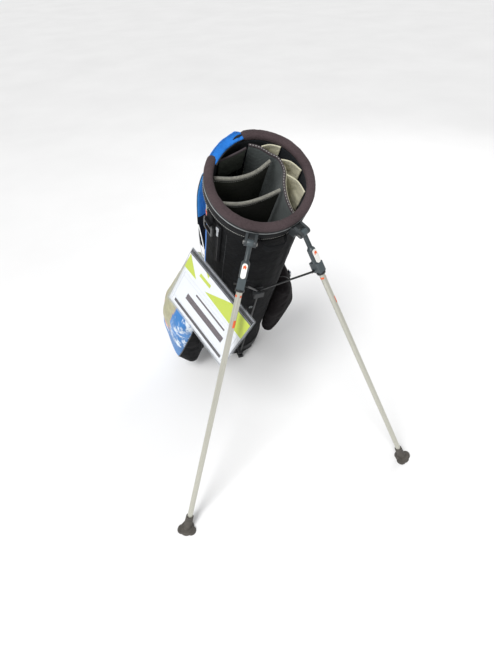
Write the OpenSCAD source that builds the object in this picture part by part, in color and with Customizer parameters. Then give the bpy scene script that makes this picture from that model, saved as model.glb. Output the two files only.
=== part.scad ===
// Golf stand bag on its two splayed legs.
// +Z is up, the legs splay towards -Y and +X is on the right seen from the legs' side.
// The origin is the middle of the foot flap's sole on the ground.
// Left and right are as seen from the legs' side.

/* [Stance] */
// Lean of the bag's axis from upright, towards the legs
lean = 27.3; // [24:0.1:29]
// Swing of each leg out from the trunk
leg_swing = 47.4; // [44:0.1:48]
// Turn of each leg's swing plane away from the middle
leg_spread = 27.9; // [26:0.1:29]

/* [Trunk] */
// Outer radius of the trunk at its base
trunk_base_r = 108; // [104:0.5:109]
// Outer radius of the trunk under the collar
trunk_top_r = 119; // [117:0.5:119]
// Wall of the padded trunk panels
trunk_wall = 3; // [2:0.5:4]
// Outer radius of the moulded base cup
cup_r = 112; // [111.5:0.5:114]
// Height of the base cup's rim
cup_h = 88; // [80:1:95]

/* [Collar] */
// Height of the rim's plane above the base, along the axis
collar_z = 880; // [870:1:890]
// Tilt of the rim, lower on the legs' side
collar_tilt = 8.2; // [6:0.1:9]
// Middle radius of the padded rim
rim_r = 114.4; // [113:0.2:115]
// Radius of the padded rim's roll
rim_roll_r = 10; // [9:0.5:10]
// Depth of the club dividers below the rim
divider_depth = 210; // [120:5:260]

/* [Legs] */
// Diameter of the leg tubes
leg_tube_d = 14; // [12:0.5:15]
// Distance along the leg from its pivot to the ground
leg_length = 791; // [785:1:795]
// Distance along the leg from its pivot to the strut's eye
strut_arm = 96; // [94:0.5:98]
// Diameter of the push rod and the struts
wire_d = 5; // [4:0.5:5]

/* [Hang tag] */
// Width of the hang tag's card
card_w = 243; // [200:1:250]
// Height of the hang tag's card
card_h = 163; // [130:1:170]

/* [Hidden] */
$fn = 64;
far = 2000;
fit_gap = 0.05;
skin_gap = 0.3;

// The flap's hinge pin, in the bag's frame and above the ground
hinge_y = -25;
hinge_z = 10;
pin_ground_y = 44.4;
pin_ground_z = 14;
hinge_pin_r = 2.5;
knuckle_r = 5.5;
sole_t = 4.5;
flap_top = 11.5;
bevel_z = 12.3;
flap_r = 111;
flap_centre_y = 61;
toe_y = -80;
tongue_w = 18;
groove_step = 13;
groove_w = 3;
cup_floor = 12;
cup_bottom = -4;

// Legs, in each leg's own frame: the leg runs down -Z, +Y faces the trunk
pivot_x = 61.5;
pivot_y = -133.8;
pivot_z = 851;
pivot_pin_r = 3;
head_r = 8;
head_w = 14;
bracket_w = 27;
bracket_face = 12;
lug_w = 6;
screw_x = 8;
screw_r = 2;
screw_head_r = 3.8;
screw_drop = -14.5;
neck_r = 5.5;
sleeve_r = 9.5;
sleeve_top = 43;
elbow_top = 77;
elbow_end = 103;
elbow_w = 18;
eye_in = 10;
tube_top = 96;
tube_end = 22;
foot_top = 746;
foot_x = 333.6;
foot_y = -649.8;
window_w = 12;
window_h = 34;
window_z = -60;

// Push rod and yoke, in the bag's frame
rod_y = -125;
rod_bottom = 60;
yoke_z = 586.7;
strut_span = 215.4;
strut_run_x = 44.9;
strut_start_x = 14;
strut_ball_r = 3.5;
strut_angle = 63;

// Collar, in its own plane
ring_r = 119;
ring_in_r = 107;
ring_bottom = -47.7;
ring_top = -10.2;
cover_r = 124;

// Lift handle, across the back left of the rim
handle_azimuth = 124.5;
handle_half = 58;
finger_half = 44;
handle_w = 20;
handle_path = [[92, -72], [99, -58], [108, -28], [109, 0], [108, 28], [99, 58], [92, 72]];

// Club dividers, in the collar's plane
divider_top = -15;
divider_t = 3;
cross_sag = 6;
rail_t = 6;
rail_depth = 70;
wing_depth = 85;
divider_room_r = 103.6;
arc_path = [[4, 99], [25, 85], [43, 63], [58, 47], [62, 17], [52, -15], [48, -46], [51, -75], [57, -92]];
upper_path = [[-96, 33], [-50, 27], [0, 32], [40, 49]];
lower_path = [[-99, -29], [-55, -35], [-8, -33], [42, -26]];
rail_path = [[-74, 70], [-50, 76], [-26, 83], [-6, 90]];
wing_paths = [
    [[30, 87], [48, 88], [66, 79]],
    [[65, 47], [84, 38], [100, 14]],
    [[68, 8], [86, -12], [95, -40]]
];

// Soft parts
pocket_r = 26;
strap_w = 52;
strap_t = 11;
strap_azimuths = [118, 58];
strap_top_z = 800;
strap_end_z = 440;
strap_belly = 172;
strap_path = [
    [trunk_r(strap_top_z) + 6.5, strap_top_z], [150, 790], [strap_belly, 690],
    [strap_belly - 4, 560], [150, 452], [trunk_r(430) + 6.5, strap_end_z]
];

belly_handle_w = 60;
belly_handle_y = -140;
belly_handle_z = 812;
spine_handle_w = 30;
spine_handle_z = 560;
spine_handle_h = 170;
hip_pad_z = 312;

// Towel hook, zippers and their pulls
hook_azimuth = 193;
hook_z = 818;
hook_drop = -17;
accessory_azimuth = 208;
accessory_z = 745;
accessory_zip = 156;
left_zip = 190;
right_zip = 120;

// Hang tag, in the model's own frame
tag_place = [-159.2, -363.9, 497.6];
tag_turn = [-19.1, 22.2, -68.6];
loop_top = [-147, -322, 713];
loop_bottom = [-142, -315, 622];

function spline_point(a, b, c, d, t) =
    0.5 * (2 * b + (c - a) * t + (2 * a - 5 * b + 4 * c - d) * t * t + (3 * b - a - 3 * c + d) * t * t * t);
function spline(p, steps) = concat(
    [for (i = [0:len(p) - 2], j = [0:steps - 1])
        spline_point(p[max(i - 1, 0)], p[i], p[i + 1], p[min(i + 2, len(p) - 1)], j / steps)],
    [p[len(p) - 1]]
);
function across(a, b) = [a[1] - b[1], b[0] - a[0]] / norm(b - a);
function beside(c, off) =
    [for (i = [0:len(c) - 1]) c[i] + off * across(c[max(i - 1, 0)], c[min(i + 1, len(c) - 1)])];
function reversed(c) = [for (i = [len(c) - 1:-1:0]) c[i]];
trunk_flare = atan((trunk_top_r - trunk_base_r) / collar_z);
function trunk_r(z) = trunk_base_r + (trunk_top_r - trunk_base_r) * z / collar_z;

// A band of even width along a smooth curve through the points
module ribbon(points, t, steps = 4) {
    c = spline(points, steps);
    polygon(concat(beside(c, t / 2), reversed(beside(c, -t / 2))));
}

module bag_frame() {
    translate([0, pin_ground_y, pin_ground_z]) rotate([lean, 0, 0])
        translate([0, -hinge_y, -hinge_z]) children();
}

module collar_frame() {
    bag_frame() translate([0, 0, collar_z]) rotate([collar_tilt, 0, 0]) children();
}

module bracket_frame(side) {
    bag_frame() translate([side * pivot_x, pivot_y, pivot_z]) rotate([0, 0, side * leg_spread]) children();
}

module leg_frame(side) {
    bracket_frame(side) rotate([-leg_swing, 0, 0]) children();
}

module tag_frame() {
    translate(tag_place) rotate(tag_turn) children();
}

// A point on the trunk's skin: +X runs round it, +Y points into it
module skin_frame(azimuth, z, off = 0) {
    bag_frame() rotate([0, 0, azimuth + 90]) translate([0, -trunk_r(z) - off, z]) children();
}

module bar_x(r, length) {
    rotate([0, 90, 0]) cylinder(r = r, h = length, center = true);
}

module tube(r_out, r_in, z0, z1) {
    difference() {
        translate([0, 0, z0]) cylinder(r = r_out, h = z1 - z0);
        translate([0, 0, z0 - 1]) cylinder(r = r_in, h = z1 - z0 + 2);
    }
}

module rounded_plate(w, t, h, r) {
    rotate([90, 0, 0]) linear_extrude(height = t, center = true) union() {
        square([w - 2 * r, h], center = true);
        square([w, h - 2 * r], center = true);
        for (x = [-1, 1], z = [-1, 1]) translate([x * (w / 2 - r), z * (h / 2 - r)]) circle(r = r);
    }
}

module trunk_cone(shrink, z0, z1) {
    translate([0, 0, z0]) cylinder(r1 = trunk_r(z0) - shrink, r2 = trunk_r(z1) - shrink, h = z1 - z0);
}

// Everything above the collar's lower plane
module above_collar(z) {
    translate([0, 0, collar_z]) rotate([collar_tilt, 0, 0]) translate([-far / 2, -far / 2, z]) cube(far);
}

module below_ground_plane(z) {
    translate([-far / 2, -far / 2, z - far]) cube(far);
}

module base_cup() {
    color("#202226") difference() {
        union() {
            difference() {
                bag_frame() translate([0, 0, cup_bottom]) cylinder(r = cup_r, h = cup_h - cup_bottom);
                difference() {
                    bag_frame() translate([0, 0, cup_bottom + cup_floor])
                        cylinder(r = trunk_r(cup_h) + 0.1, h = cup_h);
                    below_ground_plane(bevel_z + cup_floor);
                }
                intersection() {
                    below_ground_plane(bevel_z);
                    bag_frame() translate([-far / 2, 23.4 + hinge_y - far, -far / 2]) cube(far);
                }
            }
            for (x = [-1, 1]) translate([x * 28, pin_ground_y, pin_ground_z]) bar_x(knuckle_r, 12);
        }
        translate([0, pin_ground_y, pin_ground_z]) bar_x(hinge_pin_r, 200);
        for (x = [-1, 1]) translate([x * 42.5, pin_ground_y, pin_ground_z]) bar_x(knuckle_r + 0.8, 16);
        translate([0, pin_ground_y, pin_ground_z]) bar_x(knuckle_r + 0.8, 43);
    }
}

module foot_hinge_pin() {
    color("#9a9a98") translate([0, pin_ground_y, pin_ground_z]) bar_x(hinge_pin_r, 100);
}

module trunk_shell() {
    difference() {
        bag_frame() difference() {
            trunk_cone(skin_gap, 62, 900);
            trunk_cone(trunk_wall, 61, 901);
            above_collar(-48);
        }
        below_ground_plane(bevel_z + cup_floor + skin_gap);
    }
}

module trunk_front_panel() {
    color("#141416") difference() {
        trunk_shell();
        bag_frame() translate([-far / 2, 0, -far / 2]) cube(far);
    }
}

module trunk_back_panel() {
    color("#3f8fe0") intersection() {
        trunk_shell();
        bag_frame() translate([-far / 2, 0, -far / 2]) cube(far);
    }
}

module stay(azimuth) {
    bag_frame() rotate([0, 0, azimuth]) translate([trunk_r(90) - trunk_wall - 4.6, 0, 90])
        rotate([0, trunk_flare, 0]) cylinder(r = 4, h = 720);
}

module spine_stay() {
    color("#8c8f92") stay(98);
}

module side_stays() {
    color("#8c8f92") for (azimuth = [172, 8]) stay(azimuth);
}

module bracket_screw_shanks(side) {
    bracket_frame(side) for (x = [-screw_x, screw_x]) translate([x, 26, screw_drop])
        rotate([90, 0, 0]) cylinder(r = screw_r, h = 34, center = true);
}

module collar_ring() {
    color("#1c1c1e") difference() {
        collar_frame() tube(ring_r, ring_in_r, ring_bottom, ring_top);
        collar_frame() handle_gap(-38, 60, finger_half);
        for (side = [-1, 1]) bracket_screw_shanks(side);
    }
}

module collar_side_cover() {
    color("#3a3c40") difference() {
        collar_frame() tube(cover_r, ring_r + 0.2, -40, ring_top);
        collar_frame() handle_gap(-38, 60, finger_half);
        for (side = [-1, 1]) bracket_screw_shanks(side);
    }
}

module rim_padding() {
    color("#6b5f5f") collar_frame() difference() {
        rotate_extrude() translate([rim_r, 0]) union() {
            circle(r = rim_roll_r);
            translate([-rim_roll_r, -9]) square([2 * rim_roll_r, 9]);
        }
        handle_gap(-20, 40, handle_half);
    }
}

// The stretch of the collar that the lift handle and its finger gap take up
module handle_gap(z, h, half) {
    rotate([0, 0, handle_azimuth]) translate([60, -half, z]) cube([90, 2 * half, h]);
}

module lift_handle() {
    color("#3f8fe0") collar_frame() rotate([0, 0, handle_azimuth]) intersection() {
        translate([0, 0, -9]) linear_extrude(height = 14) ribbon(handle_path, handle_w);
        translate([60, -handle_half + 0.4, -40]) cube([90, 2 * handle_half - 0.8, 80]);
    }
}

module divider_wall(path, t, top, depth) {
    bag_frame() intersection() {
        translate([0, 0, collar_z]) rotate([collar_tilt, 0, 0]) intersection() {
            translate([0, 0, top - depth]) linear_extrude(height = depth) ribbon(path, t);
            translate([0, 0, top - depth - 1]) cylinder(r = divider_room_r, h = depth + 2);
        }
        trunk_cone(trunk_wall + 0.5, 400, 920);
    }
}

module arc_divider() {
    color("#5a5f5e") divider_wall(arc_path, divider_t, divider_top, divider_depth);
}

module cross_divider_upper() {
    color("#20221c") divider_wall(upper_path, divider_t, divider_top - cross_sag, divider_depth);
}

module cross_divider_lower() {
    color("#20221c") divider_wall(lower_path, divider_t, divider_top - cross_sag, divider_depth);
}

module back_rail() {
    color("#a8a89a") divider_wall(rail_path, rail_t, divider_top, rail_depth);
}

module wing_divider(i) {
    color("#d8d4b8") divider_wall(wing_paths[i], divider_t, divider_top, wing_depth);
}

module wing_divider_1() { wing_divider(0); }
module wing_divider_2() { wing_divider(1); }
module wing_divider_3() { wing_divider(2); }

module leg_bracket(side) {
    color("#4a5054") difference() {
        bracket_frame(side) union() {
            translate([-bracket_w / 2, bracket_face, -21]) cube([bracket_w, 24, 23]);
            for (x = [-bracket_w / 2, bracket_w / 2 - lug_w]) translate([x, 0, -8]) cube([lug_w, 20, 16]);
            for (x = [-1, 1]) translate([x * (bracket_w - lug_w) / 2, 0, 0]) bar_x(head_r, lug_w);
        }
        bracket_frame(side) bar_x(pivot_pin_r, 60);
        bracket_screw_shanks(side);
        collar_frame() translate([0, 0, -60]) cylinder(r = cover_r + skin_gap, h = 80, $fn = 96);
        bag_frame() trunk_cone(-skin_gap, 700, 880);
    }
}

module leg_bracket_left() { leg_bracket(-1); }
module leg_bracket_right() { leg_bracket(1); }

module bracket_screws() {
    color("#6d7072") for (side = [-1, 1]) {
        intersection() {
            bracket_screw_shanks(side);
            bracket_frame(side) translate([-50, bracket_face, -50]) cube([100, 22, 100]);
        }
        bracket_frame(side) for (x = [-screw_x, screw_x]) translate([x, bracket_face, screw_drop])
            rotate([90, 0, 0]) cylinder(r = screw_head_r, h = 2.5);
    }
}

module leg_pivot_pin(side) {
    color("#8c8f92") bracket_frame(side) union() {
        bar_x(pivot_pin_r, 29);
        for (x = [-1, 1]) translate([x * 15, 0, 0]) bar_x(4.5, 2);
    }
}

module leg_pivot_pin_left() { leg_pivot_pin(-1); }
module leg_pivot_pin_right() { leg_pivot_pin(1); }

module rod_guide(z, h, hug_r) {
    difference() {
        translate([-9, rod_y - 7, z]) cube([18, 24, h]);
        translate([0, rod_y, z - 1]) cylinder(r = wire_d / 2 + fit_gap, h = h + 2);
        translate([0, 0, z - 2]) cylinder(r = hug_r, h = h + 4, $fn = 96);
    }
}

module rod_guides() {
    color("#202226") bag_frame() union() {
        rod_guide(77, 12, cup_r + 0.1);
        rod_guide(330, 16, trunk_r(346) + 0.1);
    }
}

module belly_handle() {
    color("#26282b") bag_frame() difference() {
        translate([-belly_handle_w / 2, belly_handle_y, belly_handle_z]) standing_band(belly_handle_w, 5, 20);
        translate([0, 0, belly_handle_z - 12]) cylinder(r = 118.9, h = 60, $fn = 96);
    }
}

// A band that stands off the trunk on its two ends
module standing_band(w, t, h) {
    difference() {
        cube([w, t + 20, h]);
        translate([9, t, -1]) cube([w - 18, 30, h + 2]);
    }
}

module spine_handle() {
    color("#1c1c1e") bag_frame() difference() {
        translate([-spine_handle_w / 2, 100, spine_handle_z]) difference() {
            cube([spine_handle_w, 52, spine_handle_h]);
            translate([-1, -1, 20]) cube([spine_handle_w + 2, 47, spine_handle_h - 40]);
        }
        trunk_cone(-skin_gap, 500, 800);
    }
}

module hip_pad() {
    color("#232428") bag_frame() difference() {
        hull() for (x = [-62, 62], z = [-50, 50]) translate([x, 128, hip_pad_z + z])
            sphere(r = 17, $fn = 28);
        trunk_cone(-skin_gap, 200, 700);
    }
}

// One padded strap that stands off the back in the plane at this azimuth
module shoulder_strap(azimuth) {
    color("#18191b") bag_frame() rotate([0, 0, azimuth]) rotate([90, 0, 0])
        linear_extrude(height = strap_w, center = true) ribbon(strap_path, strap_t, 5);
}

module shoulder_strap_left() { shoulder_strap(strap_azimuths[0]); }
module shoulder_strap_right() { shoulder_strap(strap_azimuths[1]); }

module strap_buckles() {
    color("#2c2e31") bag_frame() for (azimuth = strap_azimuths, z = [823, 410]) rotate([0, 0, azimuth])
        translate([trunk_r(z) + 4.6, 0, z]) rotate([0, 0, 90]) rounded_plate(44, 8, 26, 5);
}

module pocket_hull(places) {
    hull() for (p = places) translate(p) sphere(r = pocket_r, $fn = 28);
}

left_pocket_places = [
    [-134, -88, 480], [-148, -104, 250], [-178, -104, 116], [-205, -92, 390], [-208, -84, 152],
    [-226, -20, 350], [-228, 10, 200], [-200, 70, 290], [-128, 40, 535], [-150, 60, 160], [-166, -40, 520]
];

module left_pocket_body() {
    bag_frame() difference() {
        pocket_hull(left_pocket_places);
        trunk_cone(-skin_gap, -50, 900);
        cup_room();
    }
}

// The space that the base cup takes up beside a pocket
module cup_room() {
    translate([0, 0, -50]) cylinder(r = cup_r + skin_gap, h = 160);
}

// The seam between the outer panel and the gusset: a plane that leans outwards
module left_gusset_side() {
    bag_frame() translate([-165, -60, 0]) rotate([0, 0, -30]) translate([0, -far / 2, -far / 2]) cube(far);
}

module left_pocket() {
    color("#3f8fe0") difference() {
        left_pocket_body();
        left_gusset_side();
    }
}

module left_pocket_gusset() {
    color("#17181a") intersection() {
        left_pocket_body();
        left_gusset_side();
    }
}

module zipper(length) {
    translate([0, 0, -length / 2]) rounded_plate(12, 2, length, 2);
}

// Each pocket's zipper runs down its front along -Z of these frames
module left_zipper_frame() {
    bag_frame() translate([-155, -117.9, 440]) rotate([-4.1, 0, 0]) children();
}

module right_zipper_frame() {
    bag_frame() translate([159.4, -12, 430]) rotate([0, 0, 90]) rotate([-13.9, 0, 0]) children();
}

module left_pocket_zipper() {
    color("#101113") left_zipper_frame() zipper(left_zip);
}

right_pocket_places = [
    [128, -58, 420], [162, -44, 300], [150, -30, 190], [118, -74, 170], [162, 20, 300],
    [140, 56, 400], [138, 60, 190], [118, -20, 470]
];

module right_pocket() {
    color("#1e1b1b") bag_frame() difference() {
        pocket_hull(right_pocket_places);
        trunk_cone(-skin_gap, -50, 900);
        cup_room();
    }
}

module right_pocket_zipper() {
    color("#101113") right_zipper_frame() zipper(right_zip);
}

// The accessory zipper lies along the trunk's flaring side
module accessory_frame() {
    skin_frame(accessory_azimuth, accessory_z, 1.4) rotate([trunk_flare, 0, 0]) children();
}

module accessory_zipper() {
    color("#101113") accessory_frame() translate([0, 0, accessory_zip / 2]) zipper(accessory_zip);
}

module hook_tab() {
    color("#1c1c1e") skin_frame(hook_azimuth, hook_z, 2.2) union() {
        rounded_plate(26, 3.6, 30, 3);
        translate([0, -5, hook_drop]) difference() {
            cube([26, 13.6, 10], center = true);
            bar_x(2.5, 40);
        }
    }
}

module foot_flap() {
    color("#202226") difference() {
        union() {
            intersection() {
                translate([-far / 2, pin_ground_y - 128, sole_t]) cube([far, 128, flap_top - sole_t]);
                translate([0, flap_centre_y, 0]) cylinder(r = flap_r, h = 30, $fn = 96);
                translate([-58, -far / 2, 0]) cube([116, far, 30]);
            }
            translate([0, pin_ground_y, pin_ground_z]) bar_x(knuckle_r, 42);
            for (x = [-1, 1]) translate([x * 42, pin_ground_y, pin_ground_z]) bar_x(knuckle_r, 14);
            translate([-tongue_w / 2, toe_y, sole_t]) cube([tongue_w, 40, flap_top - sole_t]);
            for (x = [-6.5, 4]) translate([x, toe_y, flap_top - 1]) cube([2.5, 20, 5.5]);
        }
        translate([0, pin_ground_y, pin_ground_z]) bar_x(hinge_pin_r + fit_gap, 200);
        for (x = [-1, 1]) translate([x * 28, pin_ground_y, pin_ground_z]) bar_x(knuckle_r + 1, 13.2);
        for (x = [-1, 1]) translate([x * 56, pin_ground_y, pin_ground_z]) bar_x(knuckle_r + 1, 13.8);
    }
}

module flap_sole() {
    color("#17181a") difference() {
        intersection() {
            translate([-far / 2, pin_ground_y - 127, 0]) cube([far, 123, sole_t]);
            translate([0, flap_centre_y, -1]) cylinder(r = flap_r - 1, h = 30, $fn = 96);
            translate([-57, -far / 2, 0]) cube([114, far, 30]);
        }
        for (i = [0:7]) translate([-far / 2, -70 + groove_step * i, -1]) cube([far, groove_w, 2.2]);
    }
}

module push_rod() {
    color("#141416") bag_frame() translate([0, rod_y, rod_bottom])
        cylinder(r = wire_d / 2, h = yoke_z - 24 - rod_bottom);
}

module rod_yoke() {
    color("#202226") bag_frame() translate([0, rod_y, yoke_z]) difference() {
        translate([-14, -9, -30]) cube([28, 16, 34]);
        translate([-30, -5.8, -17.5]) cube([60, 11.6, 40]);
        translate([0, 0, -31]) cylinder(r = wire_d / 2, h = 7);
        translate([-30, -20, -3]) cube([60, 15, 30]);
    }
}

module leg_sleeve(side) {
    color("#4a5054") leg_frame(side) difference() {
        union() {
            bar_x(head_r, head_w);
            translate([0, 0, -sleeve_top - 1]) cylinder(r = neck_r, h = sleeve_top + 1);
            translate([0, 0, -sleeve_top]) cylinder(r1 = sleeve_r, r2 = neck_r, h = 6);
            translate([0, 0, -elbow_top]) cylinder(r = sleeve_r, h = elbow_top - sleeve_top);
            translate([-elbow_w / 2, -sleeve_r, -elbow_end])
                cube([elbow_w, eye_in + 7 + sleeve_r, elbow_end - elbow_top]);
        }
        bar_x(pivot_pin_r + fit_gap, 40);
        translate([0, eye_in, -strut_arm]) bar_x(wire_d / 2 + fit_gap, 60);
        translate([0, 0, -elbow_end - 1]) cylinder(r = leg_tube_d / 2, h = elbow_end - tube_top + 1);
        translate([0, -sleeve_r, window_z]) rounded_plate(window_w + 0.2, 3, window_h + 0.2, 6);
    }
}

module leg_window(side) {
    color("#e8e8e4") leg_frame(side) translate([0, -sleeve_r + 0.2, window_z])
        rounded_plate(window_w, 2.4, window_h, 5.9);
}

module leg_tube(side) {
    color("#c9c8c0") leg_frame(side) translate([0, 0, -leg_length + tube_end])
        cylinder(r = leg_tube_d / 2, h = leg_length - tube_end - tube_top);
}

module leg_foot(side) {
    color("#5f5a52") difference() {
        union() {
            leg_frame(side) translate([0, 0, -leg_length - 20])
                cylinder(r1 = 13, r2 = 10, h = leg_length + 20 - foot_top);
            foot_pad(side);
        }
        below_ground_plane(0);
        leg_frame(side) translate([0, 0, -leg_length + tube_end]) cylinder(r = leg_tube_d / 2, h = 100);
    }
}

// The flat pad under a foot, turned to face the way the leg swings
module foot_pad(side) {
    translate([side * foot_x, foot_y, 0]) rotate([0, 0, side * leg_spread]) union() {
        cylinder(r1 = 20, r2 = 17, h = 9);
        for (x = [-13, 13]) translate([x, -4, 0]) cylinder(r1 = 13, r2 = 11, h = 7);
        translate([0, 8, 0]) cylinder(r1 = 16, r2 = 14, h = 7);
    }
}

module leg_left_sleeve() { leg_sleeve(-1); }
module leg_left_window() { leg_window(-1); }
module leg_left_tube() { leg_tube(-1); }
module leg_left_foot() { leg_foot(-1); }
module leg_right_sleeve() { leg_sleeve(1); }
module leg_right_window() { leg_window(1); }
module leg_right_tube() { leg_tube(1); }
module leg_right_foot() { leg_foot(1); }

// A strut: its pin through the elbow, and the wire down to its ball in the yoke
module strut(side) {
    side_run = strut_run_x - strut_start_x;
    wire = norm([strut_span, side_run]);
    color("#141416") leg_frame(side) translate([0, eye_in, -strut_arm]) rotate([leg_swing, 0, 0]) union() {
        bar_x(wire_d / 2, 34);
        translate([-side * strut_start_x, 0, 0]) sphere(r = wire_d / 2 + 0.3);
        translate([-side * strut_start_x, 0, 0]) rotate([90 - strut_angle, 0, 0])
            rotate([0, side * atan(side_run / strut_span), 0]) translate([0, 0, -wire]) union() {
            cylinder(r = wire_d / 2, h = wire);
            sphere(r = strut_ball_r);
        }
    }
}

module strut_left() { strut(-1); }
module strut_right() { strut(1); }

module pull(tab) {
    translate([0, -3.4, 0]) cube([9, 4.6, 13], center = true);
    translate([0, -4.2, -6 - tab / 2]) rounded_plate(6, 1.8, tab, 2.5);
}

module left_pocket_pull() {
    color("#b9bcc0") left_zipper_frame() translate([0, -0.6, -14]) pull(22);
}

module right_pocket_pull() {
    color("#b9bcc0") right_zipper_frame() translate([0, -0.6, -14]) pull(22);
}

module accessory_pull() {
    color("#b9bcc0") accessory_frame() translate([0, -0.6, 66]) pull(22);
}

module towel_hook() {
    color("#1a1b1d") skin_frame(hook_azimuth, hook_z, 2.2) translate([0, -5, hook_drop]) difference() {
        union() {
            bar_x(2.4, 34);
            translate([0, 0, -17]) rounded_plate(40, 5, 40, 6);
        }
        translate([0, 0, -1]) cube([27.5, 13, 13], center = true);
        translate([0, 0, -22]) rounded_plate(28, 9, 20, 5);
    }
}

module tag_loop() {
    run = loop_top - loop_bottom;
    span = norm(run);
    color("white") translate(loop_bottom) rotate([0, acos(run[2] / span), atan2(run[1], run[0])])
        rotate([0, 0, 60]) difference() {
            translate([-10, -1, 0]) cube([20, 2, span]);
            translate([-8, -2, 2]) cube([16, 4, span - 4]);
        }
}

module tag_sleeve() {
    color("#c8ccd0") tag_frame() difference() {
        translate([0, 0, 8]) rounded_plate(card_w + 12, 1.8, card_h + 26, 4);
        cube([card_w + 0.4, 0.9, card_h + 0.4], center = true);
        translate([-82, 0, 97]) cube([8, 10, 3], center = true);
    }
}

module tag_card() {
    color("white") tag_frame() cube([card_w, 0.8, card_h], center = true);
}

base_cup();
foot_hinge_pin();
trunk_front_panel();
trunk_back_panel();
spine_stay();
side_stays();
collar_ring();
collar_side_cover();
rim_padding();
lift_handle();
arc_divider();
cross_divider_upper();
cross_divider_lower();
back_rail();
wing_divider_1();
wing_divider_2();
wing_divider_3();
leg_bracket_left();
leg_bracket_right();
bracket_screws();
leg_pivot_pin_left();
leg_pivot_pin_right();
rod_guides();
belly_handle();
spine_handle();
hip_pad();
shoulder_strap_left();
shoulder_strap_right();
strap_buckles();
left_pocket();
left_pocket_gusset();
left_pocket_zipper();
right_pocket();
right_pocket_zipper();
accessory_zipper();
hook_tab();
foot_flap();
flap_sole();
push_rod();
rod_yoke();
leg_left_sleeve();
leg_left_window();
leg_left_tube();
leg_left_foot();
leg_right_sleeve();
leg_right_window();
leg_right_tube();
leg_right_foot();
strut_left();
strut_right();
left_pocket_pull();
right_pocket_pull();
accessory_pull();
towel_hook();
tag_loop();
tag_sleeve();
tag_card();
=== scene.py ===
"""Golf stand bag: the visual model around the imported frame. Metres, +Z up."""
import math

import bpy
import bmesh
from mathutils import Matrix, Vector, noise


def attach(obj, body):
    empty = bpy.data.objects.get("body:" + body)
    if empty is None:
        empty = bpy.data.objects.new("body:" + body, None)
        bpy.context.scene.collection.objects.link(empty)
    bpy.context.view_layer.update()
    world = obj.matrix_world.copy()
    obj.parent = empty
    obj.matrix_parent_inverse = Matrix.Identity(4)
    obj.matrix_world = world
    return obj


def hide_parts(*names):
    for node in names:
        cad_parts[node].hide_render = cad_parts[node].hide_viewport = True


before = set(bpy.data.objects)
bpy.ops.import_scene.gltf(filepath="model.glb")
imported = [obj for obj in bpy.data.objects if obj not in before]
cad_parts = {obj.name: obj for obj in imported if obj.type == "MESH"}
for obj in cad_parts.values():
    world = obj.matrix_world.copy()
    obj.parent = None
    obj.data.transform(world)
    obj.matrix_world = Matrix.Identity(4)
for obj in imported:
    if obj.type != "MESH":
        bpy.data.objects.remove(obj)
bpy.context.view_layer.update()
MM = 0.001


def shift(x, y, z):
    return Matrix.Translation((x, y, z))


def turn(angle, axis):
    return Matrix.Rotation(math.radians(angle), 4, axis)


# ---------------------------------------------------------------- frames
LEAN = 27.3
LEG_SWING = 47.4
LEG_SPREAD = 27.9
COLLAR_Z = 0.880
COLLAR_TILT = 8.2
TRUNK_BASE_R = 0.108
TRUNK_TOP_R = 0.119
CUP_TOP = 0.088
HANDLE_AZIMUTH = 124.5
BAG = shift(0, 0.0444, 0.014) @ turn(LEAN, "X") @ shift(0, 0.025, -0.010)
COLLAR = BAG @ shift(0, 0, COLLAR_Z) @ turn(COLLAR_TILT, "X")
TAG = shift(-0.1592, -0.3639, 0.4976) @ turn(-68.6, "Z") @ turn(22.2, "Y") @ turn(-19.1, "X")
LEFT_ZIP = BAG @ shift(-0.155, -0.1179, 0.440) @ turn(-4.1, "X")
RIGHT_ZIP = BAG @ shift(0.1594, -0.012, 0.430) @ turn(90, "Z") @ turn(-13.9, "X")


def trunk_r(z):
    return TRUNK_BASE_R + (TRUNK_TOP_R - TRUNK_BASE_R) * z / COLLAR_Z


def bracket_frame(side):
    return BAG @ shift(side * 0.0615, -0.1338, 0.851) @ turn(side * LEG_SPREAD, "Z")


def leg_frame(side):
    return bracket_frame(side) @ turn(-LEG_SWING, "X")


def skin_frame(azimuth, z, off=0.0):
    return BAG @ turn(azimuth + 90, "Z") @ shift(0, -trunk_r(z) - off, z)


# ---------------------------------------------------------------- camera, floor and lights
def make_camera():
    azimuth, elevation, roll = (math.radians(a) for a in (-16.4326, 41.7726, -2.5131))
    back = Vector((math.sin(azimuth) * math.cos(elevation),
                   -math.cos(azimuth) * math.cos(elevation), math.sin(elevation)))
    right = Vector((math.cos(azimuth), math.sin(azimuth), 0))
    up = back.cross(right)
    rolled_right = math.cos(roll) * right + math.sin(roll) * up
    rolled_up = -math.sin(roll) * right + math.cos(roll) * up
    data = bpy.data.cameras.new("camera")
    data.sensor_fit = "VERTICAL"
    data.sensor_height = 36
    data.lens = 24.31
    data.clip_end = 50
    camera = bpy.data.objects.new("camera", data)
    bpy.context.scene.collection.objects.link(camera)
    pose = Matrix((rolled_right, rolled_up, back)).transposed().to_4x4()
    pose.translation = (-0.3098, -1.2275, 1.2051)
    camera.matrix_world = pose
    bpy.context.scene.camera = camera


def make_light(name, kind, place, target, size, power):
    """A soft light; size is a disc's width in metres, or the sun's angle."""
    data = bpy.data.lights.new(name, kind)
    if kind == "SUN":
        data.angle = size
    else:
        data.shape = "DISK"
        data.size = size
    data.energy = power
    light = bpy.data.objects.new(name, data)
    bpy.context.scene.collection.objects.link(light)
    light.location = place
    light.rotation_euler = (Vector(target) - Vector(place)).to_track_quat("-Z", "Y").to_euler()


make_camera()


# ---------------------------------------------------------------- materials
def linear(hex_colour):
    """An sRGB colour such as 3f8fe0 as linear red, green, blue and alpha."""
    out = []
    for i in (0, 2, 4):
        c = int(hex_colour[i:i + 2], 16) / 255
        out.append(c / 12.92 if c <= 0.04045 else ((c + 0.055) / 1.055) ** 2.4)
    return (*out, 1.0)


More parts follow.
